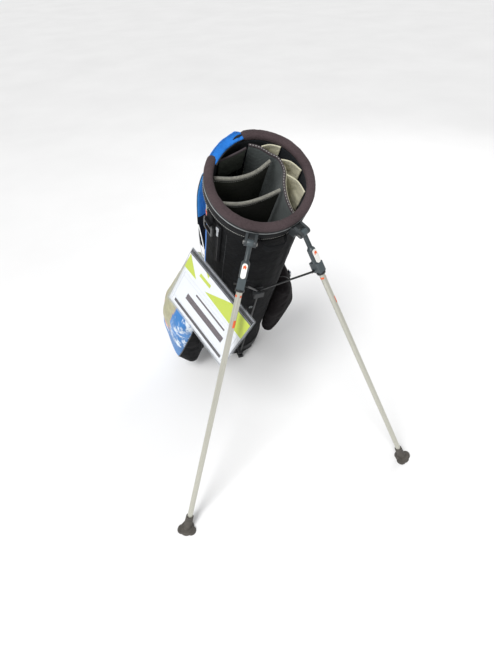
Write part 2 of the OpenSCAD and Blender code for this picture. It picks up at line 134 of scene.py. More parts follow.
class Nodes:
    """A material's node tree, with short calls to add and link nodes."""

    def __init__(self, name):
        self.material = bpy.data.materials.new(name)
        self.material.use_nodes = True
        self.tree = self.material.node_tree
        self.shader = self.tree.nodes["Principled BSDF"]
        self.place = self.add("ShaderNodeTexCoord").outputs["Object"]

    def add(self, kind, **settings):
        node = self.tree.nodes.new(kind)
        for key, value in settings.items():
            setattr(node, key, value)
        return node

    def link(self, source, socket):
        self.tree.links.new(source, socket)

    def noise(self, scale, detail=3.0, rough=0.55, place=None):
        node = self.add("ShaderNodeTexNoise")
        node.inputs["Scale"].default_value = scale
        node.inputs["Detail"].default_value = detail
        node.inputs["Roughness"].default_value = rough
        self.link(place or self.place, node.inputs["Vector"])
        return node.outputs["Fac"]

    def wave(self, pitch, direction, place=None):
        """Parallel threads: their distance apart, in metres."""
        node = self.add("ShaderNodeTexWave", bands_direction=direction)
        node.inputs["Scale"].default_value = math.pi / 10 / pitch
        self.link(place or self.place, node.inputs["Vector"])
        return node.outputs["Fac"]

    def moved(self, rotation=(0, 0, 0), scale=(1, 1, 1), location=(0, 0, 0)):
        node = self.add("ShaderNodeMapping")
        node.inputs["Rotation"].default_value = rotation
        node.inputs["Scale"].default_value = scale
        node.inputs["Location"].default_value = location
        self.link(self.place, node.inputs["Vector"])
        return node.outputs["Vector"]

    def math(self, operation, a, b):
        node = self.add("ShaderNodeMath", operation=operation)
        for socket, value in zip(node.inputs, (a, b)):
            if isinstance(value, (int, float)):
                socket.default_value = value
            else:
                self.link(value, socket)
        return node.outputs["Value"]

    def ramp(self, source, low, high, at=(0.3, 0.7)):
        node = self.add("ShaderNodeValToRGB")
        for element, colour, place in zip(node.color_ramp.elements, (low, high), at):
            element.color = colour
            element.position = place
        self.link(source, node.inputs["Fac"])
        return node.outputs["Color"]

    def mix(self, amount, a, b, blend="MIX"):
        node = self.add("ShaderNodeMix", data_type="RGBA", blend_type=blend)
        sockets = (node.inputs[0], node.inputs[6], node.inputs[7])
        for socket, value in zip(sockets, (amount, a, b)):
            if isinstance(value, (int, float, tuple)):
                socket.default_value = value
            else:
                self.link(value, socket)
        return node.outputs[2]

    def colour(self, source):
        self.link(source, self.shader.inputs["Base Color"])

    def rough(self, source, low, high):
        node = self.add("ShaderNodeMapRange")
        node.inputs["To Min"].default_value = low
        node.inputs["To Max"].default_value = high
        self.link(source, node.inputs["Value"])
        self.link(node.outputs["Result"], self.shader.inputs["Roughness"])

    def bump(self, *layers):
        """Layers of (height, strength, depth in metres), one on the other."""
        last = None
        for height, strength, depth in layers:
            node = self.add("ShaderNodeBump")
            node.inputs["Strength"].default_value = strength
            node.inputs["Distance"].default_value = depth
            self.link(height, node.inputs["Height"])
            if last:
                self.link(last, node.inputs["Normal"])
            last = node.outputs["Normal"]
        self.link(last, self.shader.inputs["Normal"])


def darker(colour, amount):
    return (*(c * amount for c in colour[:3]), 1.0)


def lighter(colour, amount):
    """Paler by a share of the colour's own brightness, so that black stays black."""
    return (*(min(c * (1 + 3 * amount) + 0.02 * amount, 1.0) for c in colour[:3]), 1.0)


def weave_height(n, pitch):
    across = n.wave(pitch, "DIAGONAL")
    along = n.wave(pitch, "X", n.moved(rotation=(0.6, 0.9, 0.7)))
    return n.math("MULTIPLY", across, along)


def fabric(name, colour, pitch=0.0016, sheen=0.25, crease=0.5, blotch=0.35, rough=(0.72, 0.92)):
    """Woven cloth: threads, soft creases, faded patches and a little sheen."""
    n = Nodes(name)
    base = linear(colour)
    threads = weave_height(n, pitch)
    patches = n.noise(14, 4)
    dust = n.noise(160, 2)
    faded = n.ramp(patches, darker(base, 1 - blotch), lighter(base, 0.04))
    worn = n.mix(0.35, faded, n.ramp(threads, darker(base, 0.55), lighter(base, 0.06), (0.1, 0.9)))
    n.colour(n.mix(0.12, worn, n.ramp(dust, darker(base, 0.6), lighter(base, 0.25))))
    n.rough(patches, *rough)
    n.shader.inputs["Sheen Weight"].default_value = sheen
    n.shader.inputs["Specular IOR Level"].default_value = 0.08
    n.bump((n.noise(26, 3), crease, 0.006), (n.noise(90, 3), 0.35, 0.0015), (threads, 0.5, 0.0004))
    return n.material


def fleece(name, colour):
    """Brushed pile: clumps of short fibres."""
    n = Nodes(name)
    base = linear(colour)
    clumps = n.noise(300, 5, 0.8)
    n.colour(n.mix(0.25, n.ramp(clumps, darker(base, 0.35), lighter(base, 0.20), (0.35, 0.65)),
                   n.ramp(n.noise(22), darker(base, 0.75), base)))
    n.rough(clumps, 0.88, 1.0)
    n.shader.inputs["Sheen Weight"].default_value = 0.3
    n.bump((clumps, 0.9, 0.0012), (n.noise(60), 0.4, 0.002))
    return n.material


def mesh_cloth(name, colour):
    """Padded spacer mesh: small open cells over foam."""
    n = Nodes(name)
    base = linear(colour)
    cells = n.add("ShaderNodeTexVoronoi")
    cells.inputs["Scale"].default_value = 420
    n.link(n.place, cells.inputs["Vector"])
    open_cells = cells.outputs["Distance"]
    n.colour(n.mix(0.4, n.ramp(n.noise(18, 4), darker(base, 0.7), lighter(base, 0.05)),
                   n.ramp(open_cells, darker(base, 0.5), lighter(base, 0.1), (0.1, 0.6))))
    n.rough(n.noise(50), 0.75, 0.95)
    n.shader.inputs["Sheen Weight"].default_value = 0.04
    n.shader.inputs["Specular IOR Level"].default_value = 0.15
    n.bump((n.noise(35, 3), 0.5, 0.004), (open_cells, 0.6, 0.0006))
    return n.material


def plastic(name, colour, rough=(0.35, 0.55), grain=0.25, edge=0.25):
    """Moulded plastic: fine grain, handling marks and paler edges."""
    n = Nodes(name)
    base = linear(colour)
    edges = n.ramp(n.add("ShaderNodeNewGeometry").outputs["Pointiness"],
                   (0, 0, 0, 1), (1, 1, 1, 1), (0.5, 0.56))
    marks = n.noise(45, 5, 0.65)
    body = n.ramp(marks, darker(base, 0.8), lighter(base, 0.03))
    n.colour(n.mix(n.math("MULTIPLY", edges, edge), body, lighter(base, 0.35)))
    n.rough(marks, *rough)
    n.bump((n.noise(900, 2), grain, 0.0003), (n.noise(70), 0.15, 0.001))
    return n.material


def metal(name, colour, rough=(0.22, 0.38), metallic=1.0):
    """Drawn metal: fine lines and smudges."""
    n = Nodes(name)
    base = linear(colour)
    lines = n.noise(60, 6, 0.7, n.moved(rotation=(0.5, 0.2, 0), scale=(14, 14, 1)))
    smudges = n.noise(16, 4)
    n.colour(n.mix(0.5, n.ramp(lines, darker(base, 0.82), lighter(base, 0.08)),
                   n.ramp(smudges, darker(base, 0.88), base)))
    n.shader.inputs["Metallic"].default_value = metallic
    n.rough(smudges, *rough)
    n.bump((lines, 0.2, 0.0002))
    return n.material


def rubber(name, colour):
    n = Nodes(name)
    base = linear(colour)
    dust = n.noise(55, 5, 0.7)
    n.colour(n.ramp(dust, darker(base, 0.7), lighter(base, 0.10)))
    n.rough(dust, 0.7, 0.95)
    n.bump((n.noise(300, 3), 0.4, 0.0006), (dust, 0.3, 0.001))
    return n.material


def film(name, colour, alpha):
    """Clear soft vinyl with smears and a soft ripple."""
    n = Nodes(name)
    base = linear(colour)
    smears = n.noise(12, 4)
    n.colour(n.ramp(smears, darker(base, 0.9), base))
    n.shader.inputs["Alpha"].default_value = alpha
    n.shader.inputs["IOR"].default_value = 1.5
    n.rough(smears, 0.05, 0.2)
    n.bump((smears, 0.4, 0.004))
    return n.material


def card(name, colour):
    """Printed card: faint fibres under a coated face."""
    n = Nodes(name)
    base = linear(colour)
    fibres = n.noise(380, 4, 0.7)
    n.colour(n.ramp(fibres, darker(base, 0.93), base))
    n.rough(fibres, 0.35, 0.5)
    n.bump((fibres, 0.1, 0.0002))
    return n.material


def pocket_print(name):
    """The large pocket's cloth: blue, with a cream field behind a ragged brush-stroke edge."""
    n = Nodes(name)
    blue, cream, white, orange = linear("3180c6"), linear("aeab89"), linear("dde6ee"), linear("e0845a")
    off, on = (0, 0, 0, 1), (1, 1, 1, 1)
    upright = n.moved(rotation=(math.radians(-LEAN), 0, 0))
    local = n.add("ShaderNodeSeparateXYZ")
    n.link(upright, local.inputs["Vector"])
    strokes = n.noise(34, 5, 0.75, n.moved(rotation=(0.3, 0.2, 0.1), scale=(1.0, 1.0, 0.25)))
    ragged = n.math("MULTIPLY", n.math("SUBTRACT", strokes, 0.5), 0.16)
    height = n.math("ADD", local.outputs["Z"], ragged)
    behind = n.math("ADD", local.outputs["Y"], n.math("MULTIPLY", ragged, 0.5))
    above = n.ramp(height, off, on, (0.285, 0.292))
    back = n.ramp(behind, off, on, (0.006, 0.012))
    edge = n.ramp(height, off, on, (0.240, 0.247))
    fleck = n.ramp(height, off, on, (0.272, 0.276))
    threads = weave_height(n, 0.0018)
    patches = n.noise(12, 4)
    ground = n.ramp(patches, darker(blue, 0.72), lighter(blue, 0.05))
    brushed = n.math("MULTIPLY", edge, n.ramp(strokes, off, on, (0.50, 0.56)))
    field = n.mix(brushed, ground, white)
    field = n.mix(n.math("MULTIPLY", fleck, back), field, orange)
    faded_cream = n.ramp(n.noise(60, 5, 0.8), darker(cream, 0.72), lighter(cream, 0.04))
    printed = n.mix(n.math("MULTIPLY", above, back), field, faded_cream)
    n.colour(n.mix(0.2, printed, n.ramp(threads, (0.25, 0.25, 0.25, 1), (0.75, 0.75, 0.75, 1)), "SOFT_LIGHT"))
    n.rough(patches, 0.55, 0.8)
    n.shader.inputs["Sheen Weight"].default_value = 0.15
    n.bump((n.noise(18, 3), 0.5, 0.010), (n.noise(75, 3), 0.4, 0.002), (threads, 0.45, 0.0005))
    return n.material


M = {}


def make_material(name, maker, *looks, **options):
    M[name] = maker(name, *looks, **options)


make_material("black_fabric", fabric, "0d0e10", crease=0.8, sheen=0.02)
make_material("blue_fabric", fabric, "2a7ad6", rough=(0.5, 0.75), sheen=0.05)
# A lighter copy of blue_fabric, with painted light for the strap's blue part.
make_material("sky_fabric", fabric, "4a9fe6", rough=(0.5, 0.75), sheen=0.05)
make_material("brown_fabric", fabric, "130f11", crease=0.7, sheen=0.02)
make_material("rim_fabric", mesh_cloth, "463b3d")
make_material("collar_fabric", fabric, "17181a", rough=(0.5, 0.7), sheen=0.02)
make_material("grey_divider", fabric, "575d5c", blotch=0.25, sheen=0.08)
make_material("binding", fabric, "4d4649", pitch=0.0012, sheen=0.05)
make_material("cream_divider", fabric, "d6d2b8", blotch=0.18, crease=0.35, sheen=0.08)
make_material("dark_divider", fabric, "34372b", crease=0.7, sheen=0.08)
make_material("lining", fabric, "26292d", crease=0.6, sheen=0.03)
make_material("fleece", fleece, "7c7b72")
make_material("strap_fabric", mesh_cloth, "17181a")
make_material("webbing", fabric, "121315", pitch=0.0026, crease=0.2, sheen=0.02)
make_material("pocket_print", pocket_print)
make_material("thread", fabric, "b9bab4", pitch=0.0008, crease=0.1)
make_material("dark_thread", fabric, "4b4e50", pitch=0.0008, crease=0.1)
make_material("piping", plastic, "8f9394", grain=0.1)
make_material("dark_piping", plastic, "1a1b1d", grain=0.1)
make_material("base_plastic", plastic, "191b1d", rough=(0.5, 0.7), grain=0.5)
make_material("rail_cloth", fabric, "444a42", crease=0.5, sheen=0.05)
make_material("bracket_plastic", plastic, "222628", rough=(0.35, 0.55), edge=0.9)
# A dark translucent film: painted darkness standing in for the black trunk seen through the clear sleeve.
make_material("dark_film", film, "3c3e42", 0.72)
make_material("tag_mauve", card, "54484d")
make_material("leg_plastic", plastic, "333b3e", rough=(0.3, 0.5), edge=0.6)
make_material("black_plastic", plastic, "0e0f10", rough=(0.25, 0.45))
make_material("window_plastic", plastic, "e9e9e4", rough=(0.2, 0.35), edge=0.1)
make_material("orange", plastic, "e4602a", rough=(0.35, 0.5), edge=0.1)
make_material("leg_metal", metal, "c4c3b8", (0.3, 0.45), 0.8)
make_material("stay_metal", metal, "8c8f92")
make_material("steel", metal, "8a8a88", (0.3, 0.45))
make_material("zip_pull", metal, "c2c5c8", (0.15, 0.3))
make_material("wire", plastic, "131416", rough=(0.3, 0.5), edge=0.1)
make_material("zip", plastic, "0f1012", rough=(0.4, 0.6))
make_material("foot_rubber", rubber, "4f4b46")
make_material("sole_rubber", rubber, "1b1c1e")
make_material("sleeve_film", film, "dfe4e8", 0.09)
make_material("tag_card", card, "e6e9ee")
make_material("tag_green", card, "b9c922")
make_material("tag_dark", card, "3a3436")
make_material("tag_grey", card, "a9adb4")
make_material("tag_loop", plastic, "e9eaea", rough=(0.3, 0.45), edge=0.05)
make_material("cord_ring", plastic, "8d9393", rough=(0.3, 0.5))


# ---------------------------------------------------------------- meshes
def add_mesh(name, verts, faces, materials, matrix=None, smooth=True):
    mesh = bpy.data.meshes.new(name)
    mesh.from_pydata([tuple(v) for v in verts], [], faces)
    for material in materials:
        mesh.materials.append(M[material])
    mesh.polygons.foreach_set("use_smooth", [smooth] * len(mesh.polygons))
    if matrix:
        mesh.transform(matrix)
    mesh.validate()
    piece = bpy.data.objects.new(name, mesh)
    bpy.context.scene.collection.objects.link(piece)
    return piece


def place(piece, body, slot, *nodes):
    """The piece rides on a body and stands for the CAD nodes, which are hidden; slot is not used."""
    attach(piece, body)
    if nodes:
        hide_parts(*nodes)
    return piece


def modifier(piece, kind, **settings):
    added = piece.modifiers.new(kind.lower(), kind)
    for key, value in settings.items():
        setattr(added, key, value)
    return added


def apply_modifiers(piece):
    depsgraph = bpy.context.evaluated_depsgraph_get()
    mesh = bpy.data.meshes.new_from_object(piece.evaluated_get(depsgraph))
    piece.modifiers.clear()
    piece.data = mesh


def wobble(x, y, z, seed=0.0):
    """Smooth noise from about -1 to 1 that is the same on every run."""
    return noise.noise(Vector((x + seed, y - seed, z + 2 * seed)))


def ease(x, a, b):
    t = min(max((x - a) / (b - a), 0.0), 1.0)
    return t * t * (3 - 2 * t)


def evenly(start, span, steps):
    """Values from start to start + span, in even steps."""
    return [start + span * i / steps for i in range(steps + 1)]


def full_turn(count):
    """Angles of points spaced evenly round a circle."""
    return [2 * math.pi * i / count for i in range(count)]


def step_at(line, i):
    """From the point before a line's point to the one after it."""
    return line[min(i + 1, len(line) - 1)] - line[max(i - 1, 0)]


def across_at(line, i):
    """Level, and square to a line at one of its points."""
    ahead = step_at(line, i)
    return Vector((-ahead.y, ahead.x, 0)).normalized()


def upright(i):
    """The upward way of a section that stays upright along its path."""
    return (0, 0, 1)


def spline(points, steps=8):
    """A smooth curve through the points."""
    points = [Vector(p) for p in points]
    out = []
    last = len(points) - 1
    for i in range(last):
        a, b, c, d = (points[max(min(k, last), 0)] for k in (i - 1, i, i + 1, i + 2))
        for j in range(steps):
            t = j / steps
            out.append(0.5 * (2 * b + (c - a) * t + (2 * a - 5 * b + 4 * c - d) * t * t
                              + (3 * b - a - 3 * c + d) * t ** 3))
    return out + [points[last]]


def resampled(points, count):
    """Points at even distances along the line."""
    run = [0.0]
    for a, b in zip(points, points[1:]):
        run.append(run[-1] + (b - a).length)
    out, k = [], 0
    for i in range(count):
        want = run[-1] * i / (count - 1)
        while k < len(run) - 2 and run[k + 1] < want:
            k += 1
        t = (want - run[k]) / max(run[k + 1] - run[k], 1e-9)
        out.append(points[k].lerp(points[k + 1], min(max(t, 0), 1)))
    return out


def grid_faces(rows, columns, loop_rows=False, loop_columns=False):
    faces = []
    for i in range(rows if loop_rows else rows - 1):
        for j in range(columns if loop_columns else columns - 1):
            a, b = i * columns + j, i * columns + (j + 1) % columns
            k = ((i + 1) % rows) * columns
            faces.append((a, b, k + (j + 1) % columns, k + j))
    return faces


def add_grid(name, rows, materials, matrix=None, loop_rows=False, loop_columns=False, caps=False):
    columns = len(rows[0])
    faces = grid_faces(len(rows), columns, loop_rows, loop_columns)
    if caps:
        faces.append(tuple(reversed(range(columns))))
        faces.append(tuple(range((len(rows) - 1) * columns, len(rows) * columns)))
    return add_mesh(name, [v for row in rows for v in row], faces, materials, matrix)


def add_sweep(name, path, section, up, materials, matrix=None, closed=False):
    """A section carried along a path.

    section(t) gives (across, upward) pairs, and up(i) the section's upward way.
    """
    rows = []
    count = len(path)
    for i, p in enumerate(path):
        ahead = path[(i + 1) % count] if closed else path[min(i + 1, count - 1)]
        behind = path[i - 1] if closed else path[max(i - 1, 0)]
        along = (ahead - behind).normalized()
        upward = Vector(up(i))
        across = along.cross(upward).normalized()
        upward = across.cross(along).normalized()
        rows.append([p + across * a + upward * b for a, b in section(i / max(count - 1, 1))])
    return add_grid(name, rows, materials, matrix, loop_rows=closed, loop_columns=True, caps=not closed)


def oval(width, height, count=14, power=2.0):
    """An oval section; a higher power makes it squarer."""
    out = []
    for k in range(count):
        a = 2 * math.pi * k / count
        c, s = math.cos(a), math.sin(a)
        out.append((width / 2 * math.copysign(abs(c) ** (2 / power), c),
                    height / 2 * math.copysign(abs(s) ** (2 / power), s)))
    return out


def add_tube(name, path, radius, materials, matrix=None, closed=False, up=(0, 0, 1), count=10):
    section = oval(2 * radius, 2 * radius, count)
    return add_sweep(name, path, lambda t: section, lambda i: up, materials, matrix, closed)


def add_stitches(name, path, gap, length, radius, materials, matrix=None, up=(0, 0, 1)):
    """A row of thread stitches along a path, as one mesh of short rounded bars."""
    run = sum((b - a).length for a, b in zip(path, path[1:]))
    count = max(int(run / gap), 2)
    points = resampled(path, count * 2 + 1)
    verts, faces = [], []
    half = length / 2
    for k in range(count):
        centre = points[2 * k + 1]
        along = (points[2 * k + 2] - points[2 * k]).normalized()
        upward = Vector(up)
        across = along.cross(upward).normalized()
        upward = across.cross(along)
        first = len(verts)
        for place_along, size in ((-half, 0.35), (-half * 0.6, 1), (half * 0.6, 1), (half, 0.35)):
            for a, b in oval(2 * radius * size, 2 * radius * size, 6):
                verts.append(centre + along * place_along + across * a + upward * b)
        faces += [tuple(first + f for f in face) for face in grid_faces(4, 6, loop_columns=True)]
        faces.append(tuple(first + f for f in reversed(range(6))))
        faces.append(tuple(first + 18 + f for f in range(6)))
    return add_mesh(name, verts, faces, materials, matrix)


def round_path(radius, z, start, end, count):
    return [Vector((radius * math.cos(math.radians(start + (end - start) * i / (count - 1))),
                    radius * math.sin(math.radians(start + (end - start) * i / (count - 1))), z))
            for i in range(count)]


CLOTH_PRESSURE = 4.0
CLOTH_FRAMES = 20


def puff(piece, voxel, cap):
    """Inflates a closed form as sewn cloth over filling; no point moves further than cap."""
    modifier(piece, "REMESH", mode="VOXEL", voxel_size=voxel, use_smooth_shade=True)
    modifier(piece, "SMOOTH", factor=0.5, iterations=3)
    apply_modifiers(piece)
    start = [v.co.copy() for v in piece.data.vertices]
    cloth = modifier(piece, "CLOTH")
    cloth.settings.use_pressure = True
    cloth.settings.uniform_pressure_force = CLOTH_PRESSURE
    cloth.settings.quality = 4
    cloth.settings.effector_weights.gravity = 0
    cloth.collision_settings.use_collision = False
    for number in range(1, CLOTH_FRAMES + 1):
        bpy.context.scene.frame_set(number)
    moved = piece.evaluated_get(bpy.context.evaluated_depsgraph_get()).data.vertices
    ends = [v.co.copy() for v in moved]
    piece.modifiers.clear()
    for vertex, a, b in zip(piece.data.vertices, start, ends):
        step = b - a
        vertex.co = a + step * min(1.0, cap / max(step.length, 1e-9))
    bpy.context.scene.frame_set(1)


def ball_hull(name, places, radius, materials):
    """The skin stretched over balls at the places."""
    build = bmesh.new()
    for spot in places:
        bmesh.ops.create_icosphere(build, subdivisions=3, radius=radius, matrix=Matrix.Translation(spot))
    hull = bmesh.ops.convex_hull(build, input=build.verts)
    inside = [v for v in hull["geom_interior"] + hull["geom_unused"] if isinstance(v, bmesh.types.BMVert)]
    bmesh.ops.delete(build, geom=list(set(inside)), context="VERTS")
    mesh = bpy.data.meshes.new(name)
    build.to_mesh(mesh)
    build.free()
    for material in materials:
        mesh.materials.append(M[material])
    piece = bpy.data.objects.new(name, mesh)
    bpy.context.scene.collection.objects.link(piece)
    return piece


def settle(piece, moved):
    """Moves every vertex of a cushion, then makes its mesh finer and smooth."""
    for vertex in piece.data.vertices:
        vertex.co = moved(vertex.co)
    modifier(piece, "SUBSURF", levels=1, render_levels=1)
    apply_modifiers(piece)
    piece.data.polygons.foreach_set("use_smooth", [True] * len(piece.data.polygons))


# ---------------------------------------------------------------- pieces that are made and placed in one call
def add_panel(name, rows, material, thickness, slot, *nodes, matrix=BAG, body="bag", offset=0, **loops):
    """A grid of points with a thickness."""
    panel = add_grid(name, rows, [material], matrix, **loops)
    modifier(panel, "SOLIDIFY", thickness=thickness, offset=offset)
    place(panel, body, slot, *nodes)


def add_band(name, path, section, material, slot, *nodes, up=upright, matrix=COLLAR, closed=False):
    """A section swept along a path on the bag."""
    return place(add_sweep(name, path, section, up, [material], matrix, closed), "bag", slot, *nodes)


def add_trim(name, path, radius, material, slot, *nodes, matrix=BAG, body="bag", **shape):
    """Round piping or cord along a path."""
    place(add_tube(name, path, radius, [material], matrix, **shape), body, slot, *nodes)


def add_seam(name, path, gap, radius, material, slot, matrix=BAG, length=0.003, up=(0, 0, 1)):
    """A row of stitches along a path on the bag."""
    place(add_stitches(name, path, gap, length, radius, [material], matrix, up), "bag", slot)


# ---------------------------------------------------------------- trunk
def trunk_top(y):
    """Where the collar's lower plane cuts the trunk, at a place y across the bag."""
    tilt = math.radians(COLLAR_TILT)
    return COLLAR_Z + (-0.037 + y * math.sin(tilt)) / math.cos(tilt)


def trunk_point(azimuth, z, lift=0.0):
    """A point on the wrinkled trunk cloth; lift moves it off the cloth."""
    a = math.radians(azimuth)
    c, s = math.cos(a), math.sin(a)
    top = trunk_top(trunk_r(z) * s)
    fade = ease(z, 0.088, 0.16) * ease(top - z, 0.0, 0.05)
    drape = wobble(c * 1.6, s * 1.6, z * 5)
    folds = wobble(c * 6, s * 6, z * 4, 3.1)
    creases = wobble(c * 4 + z * 14, s * 4, z * 22, 7.7)
    drop = (-0.0012 + 0.0020 * drape + 0.0020 * folds + 0.0010 * creases) * fade
    flare = 0.0009 * ease(top - z, 0.016, 0.006)
    r = trunk_r(z) - 0.0004 + min(max(drop, -0.0042), 0.0012) + flare + lift
    return Vector((r * c, r * s, z))


PANEL_BOTTOM = 0.064


def trunk_panel(name, start, end, fabric_name, node):
    """Half of the trunk's cloth, between two azimuths; its inner face is lining."""
    columns, rows = 120, 110
    grid = []
    for i in range(rows):
        row = []
        for j in range(columns):
            azimuth = start + (end - start) * j / (columns - 1)
            top = trunk_top(TRUNK_TOP_R * math.sin(math.radians(azimuth)))
            row.append(trunk_point(azimuth, PANEL_BOTTOM + (top - PANEL_BOTTOM) * i / (rows - 1)))
        grid.append(row)
    piece = add_grid(name, grid, [fabric_name, "lining"], BAG)
    modifier(piece, "SOLIDIFY", thickness=0.0014, offset=-1, material_offset=1)
    place(piece, "bag", fabric_name, node)


def trunk():
    trunk_panel("trunk_cloth_front", 180, 360, "black_fabric", "trunk_front_panel")
    trunk_panel("trunk_cloth_back", 0, 180, "blue_fabric", "trunk_back_panel")
    for name, azimuth in (("trunk_seam_left", 180), ("trunk_seam_right", 0)):
        path = [trunk_point(azimuth, z, 0.0006) for z in evenly(0.092, 0.735, 90)]
        add_trim(name, path, 0.0016, "dark_piping", "black_plastic", up=(0, 1, 0))
    for index, azimuth in enumerate((218, 312), 1):
        path = [trunk_point(azimuth, z, 0.0002) for z in evenly(0.10, 0.70, 90)]
        add_seam(f"trunk_stitching_{index}", path, 0.0045, 0.0004, "dark_thread", "black_fabric",
                 up=(0, 1, 0))


def accent_flash():
    """The cream and orange flash where the blue back panel ends, under the collar."""
    for colour, low, tall, rows, reach, columns, lift, material, slot in (
            ("cream", 0.768, 0.050, 12, 16, 10, 0.0012, "cream_divider", "cream_divider"),
            ("orange", 0.772, 0.026, 8, 7, 6, 0.0024, "orange", "black_fabric")):
        grid = [[trunk_point(183 - (1 + reach * i / rows) * (1 - j / columns), z, lift)
                 for j in range(columns + 1)] for i, z in enumerate(evenly(low, tall, rows))]
        add_panel("accent_flash_" + colour, grid, material, 0.0008, slot)


# ---------------------------------------------------------------- collar and mouth
RIM_R = 0.1144
COVER_GAP = 21.6
RIM_GAP = 29.0
RIM_GAP_LEFT = 17.0


def collar():
    """The cloth cover round the collar's side, open where the lift handle is."""
    start, end = HANDLE_AZIMUTH + COVER_GAP, HANDLE_AZIMUTH + 360 - COVER_GAP
    path = round_path(0.1216, -0.025, start, end, 180)

    def cover_section(t):
        a = math.radians(start + (end - start) * t)
        pucker = 0.0006 * wobble(math.cos(a) * 9, math.sin(a) * 9, 0, 2.0)
        return [(x + (pucker if x > 0 else 0), y) for x, y in oval(0.0050, 0.030, 18, 5.0)]
    add_band("collar_cover", path, cover_section, "collar_fabric", "collar_fabric", "collar_side_cover")
    for name, z, r, material in (("collar_piping_top", -0.0112, 0.1243, "piping"),
                                 ("collar_piping_bottom", -0.0405, 0.1236, "dark_piping")):
        line = round_path(r, z, start + 1, end - 1, 180)
        add_trim(name, line, 0.0011, material, "collar_fabric", matrix=COLLAR)
    line = round_path(0.1246, -0.036, start + 1, end - 1, 180)
    add_seam("collar_stitching", line, 0.0045, 0.0005, "thread", "collar_fabric", COLLAR)


def rim():
    """The padded roll on top of the collar, its seam, and the cloth inside the mouth."""
    start, end = HANDLE_AZIMUTH + RIM_GAP_LEFT, HANDLE_AZIMUTH + 360 - RIM_GAP
    path = round_path(RIM_R, 0.0, start, end, 220)

    def rim_section(t):
        a = math.radians(start + (end - start) * t)
        swell = 0.80 + 0.20 * ease(min(t, 1 - t), 0.0, 0.012)
        out = []
        for b in full_turn(26):
            c, s = math.cos(b), math.sin(b)
            wide = 0.0106 * swell * (1 - 0.10 * max(0, -s))
            tall = 0.0100 * swell
            ripple = 0.00045 * wobble(math.cos(a) * 26, math.sin(a) * 26, 0.6 * b, 1.0)
            ripple += 0.0007 * wobble(math.cos(a) * 5, math.sin(a) * 5, b * 0.4, 5.0)
            out.append(((wide + ripple) * math.copysign(abs(c) ** 0.9, c),
                        (tall + ripple) * math.copysign(abs(s) ** 0.8, s) - 0.0004))
        return out
    roll = add_band("rim_roll", path, rim_section, "rim_fabric", "rim_fabric", "rim_padding")
    seam = round_path(RIM_R + 0.0100, -0.0056, start + 1, end - 1, 200)
    add_trim("rim_seam", seam, 0.0009, "dark_piping", "rim_fabric", matrix=COLLAR)
    rows = []
    for i, z in enumerate(evenly(-0.008, -0.052, 13)):
        row = []
        for a in full_turn(150):
            c, s = math.cos(a), math.sin(a)
            r = 0.1058 - 0.0015 * ease(i, 4, 13) + 0.0006 * wobble(c * 7, s * 7, z * 30)
            row.append(Vector((r * c, r * s, z)))
        rows.append(row)
    add_panel("mouth_lining", rows, "lining", 0.0012, "collar_fabric", matrix=COLLAR, loop_columns=True)


DIVIDER_TOP = -0.015
ARC = [[4, 99], [25, 85], [43, 63], [58, 47], [62, 17], [52, -15], [48, -46], [51, -75], [57, -92]]
CROSS_UPPER = [[-96, 33], [-50, 27], [0, 32], [40, 49]]
CROSS_LOWER = [[-99, -29], [-55, -35], [-8, -33], [42, -26]]
BACK_RAIL = [[-74, 70], [-50, 76], [-26, 83], [-6, 90]]
WINGS = [
    [[30, 87], [50, 86], [72, 74]],
    [[65, 47], [85, 35], [101, 8]],
    [[67, 8], [85, -15], [92, -46]],
]


COLLAR_ON_BAG = shift(0, 0, COLLAR_Z) @ turn(COLLAR_TILT, "X")
LINE_ROOM = 0.1026
SHEET_ROOM = 0.1032
TRUNK_CLEARANCE = 0.0075


def held_in(point, limit):
    """The point, brought in to the limit if it is further from the axis."""
    flat = math.hypot(point.x, point.y)
    if flat > limit:
        return Vector((point.x * limit / flat, point.y * limit / flat, point.z))
    return point


def in_room(point, room):
    """Keeps a point in the collar's frame inside the collar and the trunk."""
    point = held_in(point, room)
    local = COLLAR_ON_BAG @ point
    limit = trunk_r(local.z) - TRUNK_CLEARANCE
    if math.hypot(local.x, local.y) > limit:
        point = COLLAR_ON_BAG.inverted() @ held_in(local, limit)
    return point


def divider_line(points, count, top):
    """A divider's upper edge; top(t) is its height along the way."""
    line = resampled(spline([(x * MM, y * MM, 0) for x, y in points], 10), count)
    return [in_room(Vector((p.x, p.y, top(i / (count - 1)))), LINE_ROOM) for i, p in enumerate(line)]


def divider_sheet(name, line, depth, materials, billow, slot, *nodes, thickness=0.0026):
    """Cloth hanging from a line; where two materials are given, they are its two faces."""
    rows = []
    for k in range(26):
        down = k / 25
        row = []
        for i, p in enumerate(line):
            t = i / (len(line) - 1)
            sway = billow * math.sin(math.pi * t) * math.sin(math.pi * min(down * 1.3, 1))
            sway += 0.0016 * wobble(t * 6, down * 7, billow * 900, 4.0) * ease(down, 0.02, 0.2)
            q = p + across_at(line, i) * sway
            row.append(in_room(Vector((q.x, q.y, p.z - depth * down)), SHEET_ROOM))
        rows.append(row)
    sheet = add_grid(name, rows, materials, COLLAR)
    modifier(sheet, "SOLIDIFY", thickness=thickness, offset=0, material_offset=len(materials) - 1)
    place(sheet, "bag", slot, *nodes)


def lowered(line, drop, side=0.0):
    """The line moved down and sideways."""
    return [p + across_at(line, i) * side - Vector((0, 0, drop)) for i, p in enumerate(line)]


def cross_divider(name, points, node, sag):
    """A sagging divider across the mouth, with a fleece roll along its top."""
    def top(t):
        return DIVIDER_TOP - 0.004 - sag * math.sin(math.pi * t) ** 1.2 + 0.006 * t * t
    line = divider_line(points, 46, top)
    divider_sheet(name + "_panel", lowered(line, 0.003), 0.202, ["dark_divider"], 0.004, "dark_divider", node)
    pad = add_band(name + "_fleece", line, lambda t: oval(0.0085, 0.0105, 16, 2.3), "fleece", "fleece")
    add_seam(name + "_stitching", lowered(line, 0.0095, -0.0017), 0.0048, 0.0007, "thread", "dark_divider",
             COLLAR)


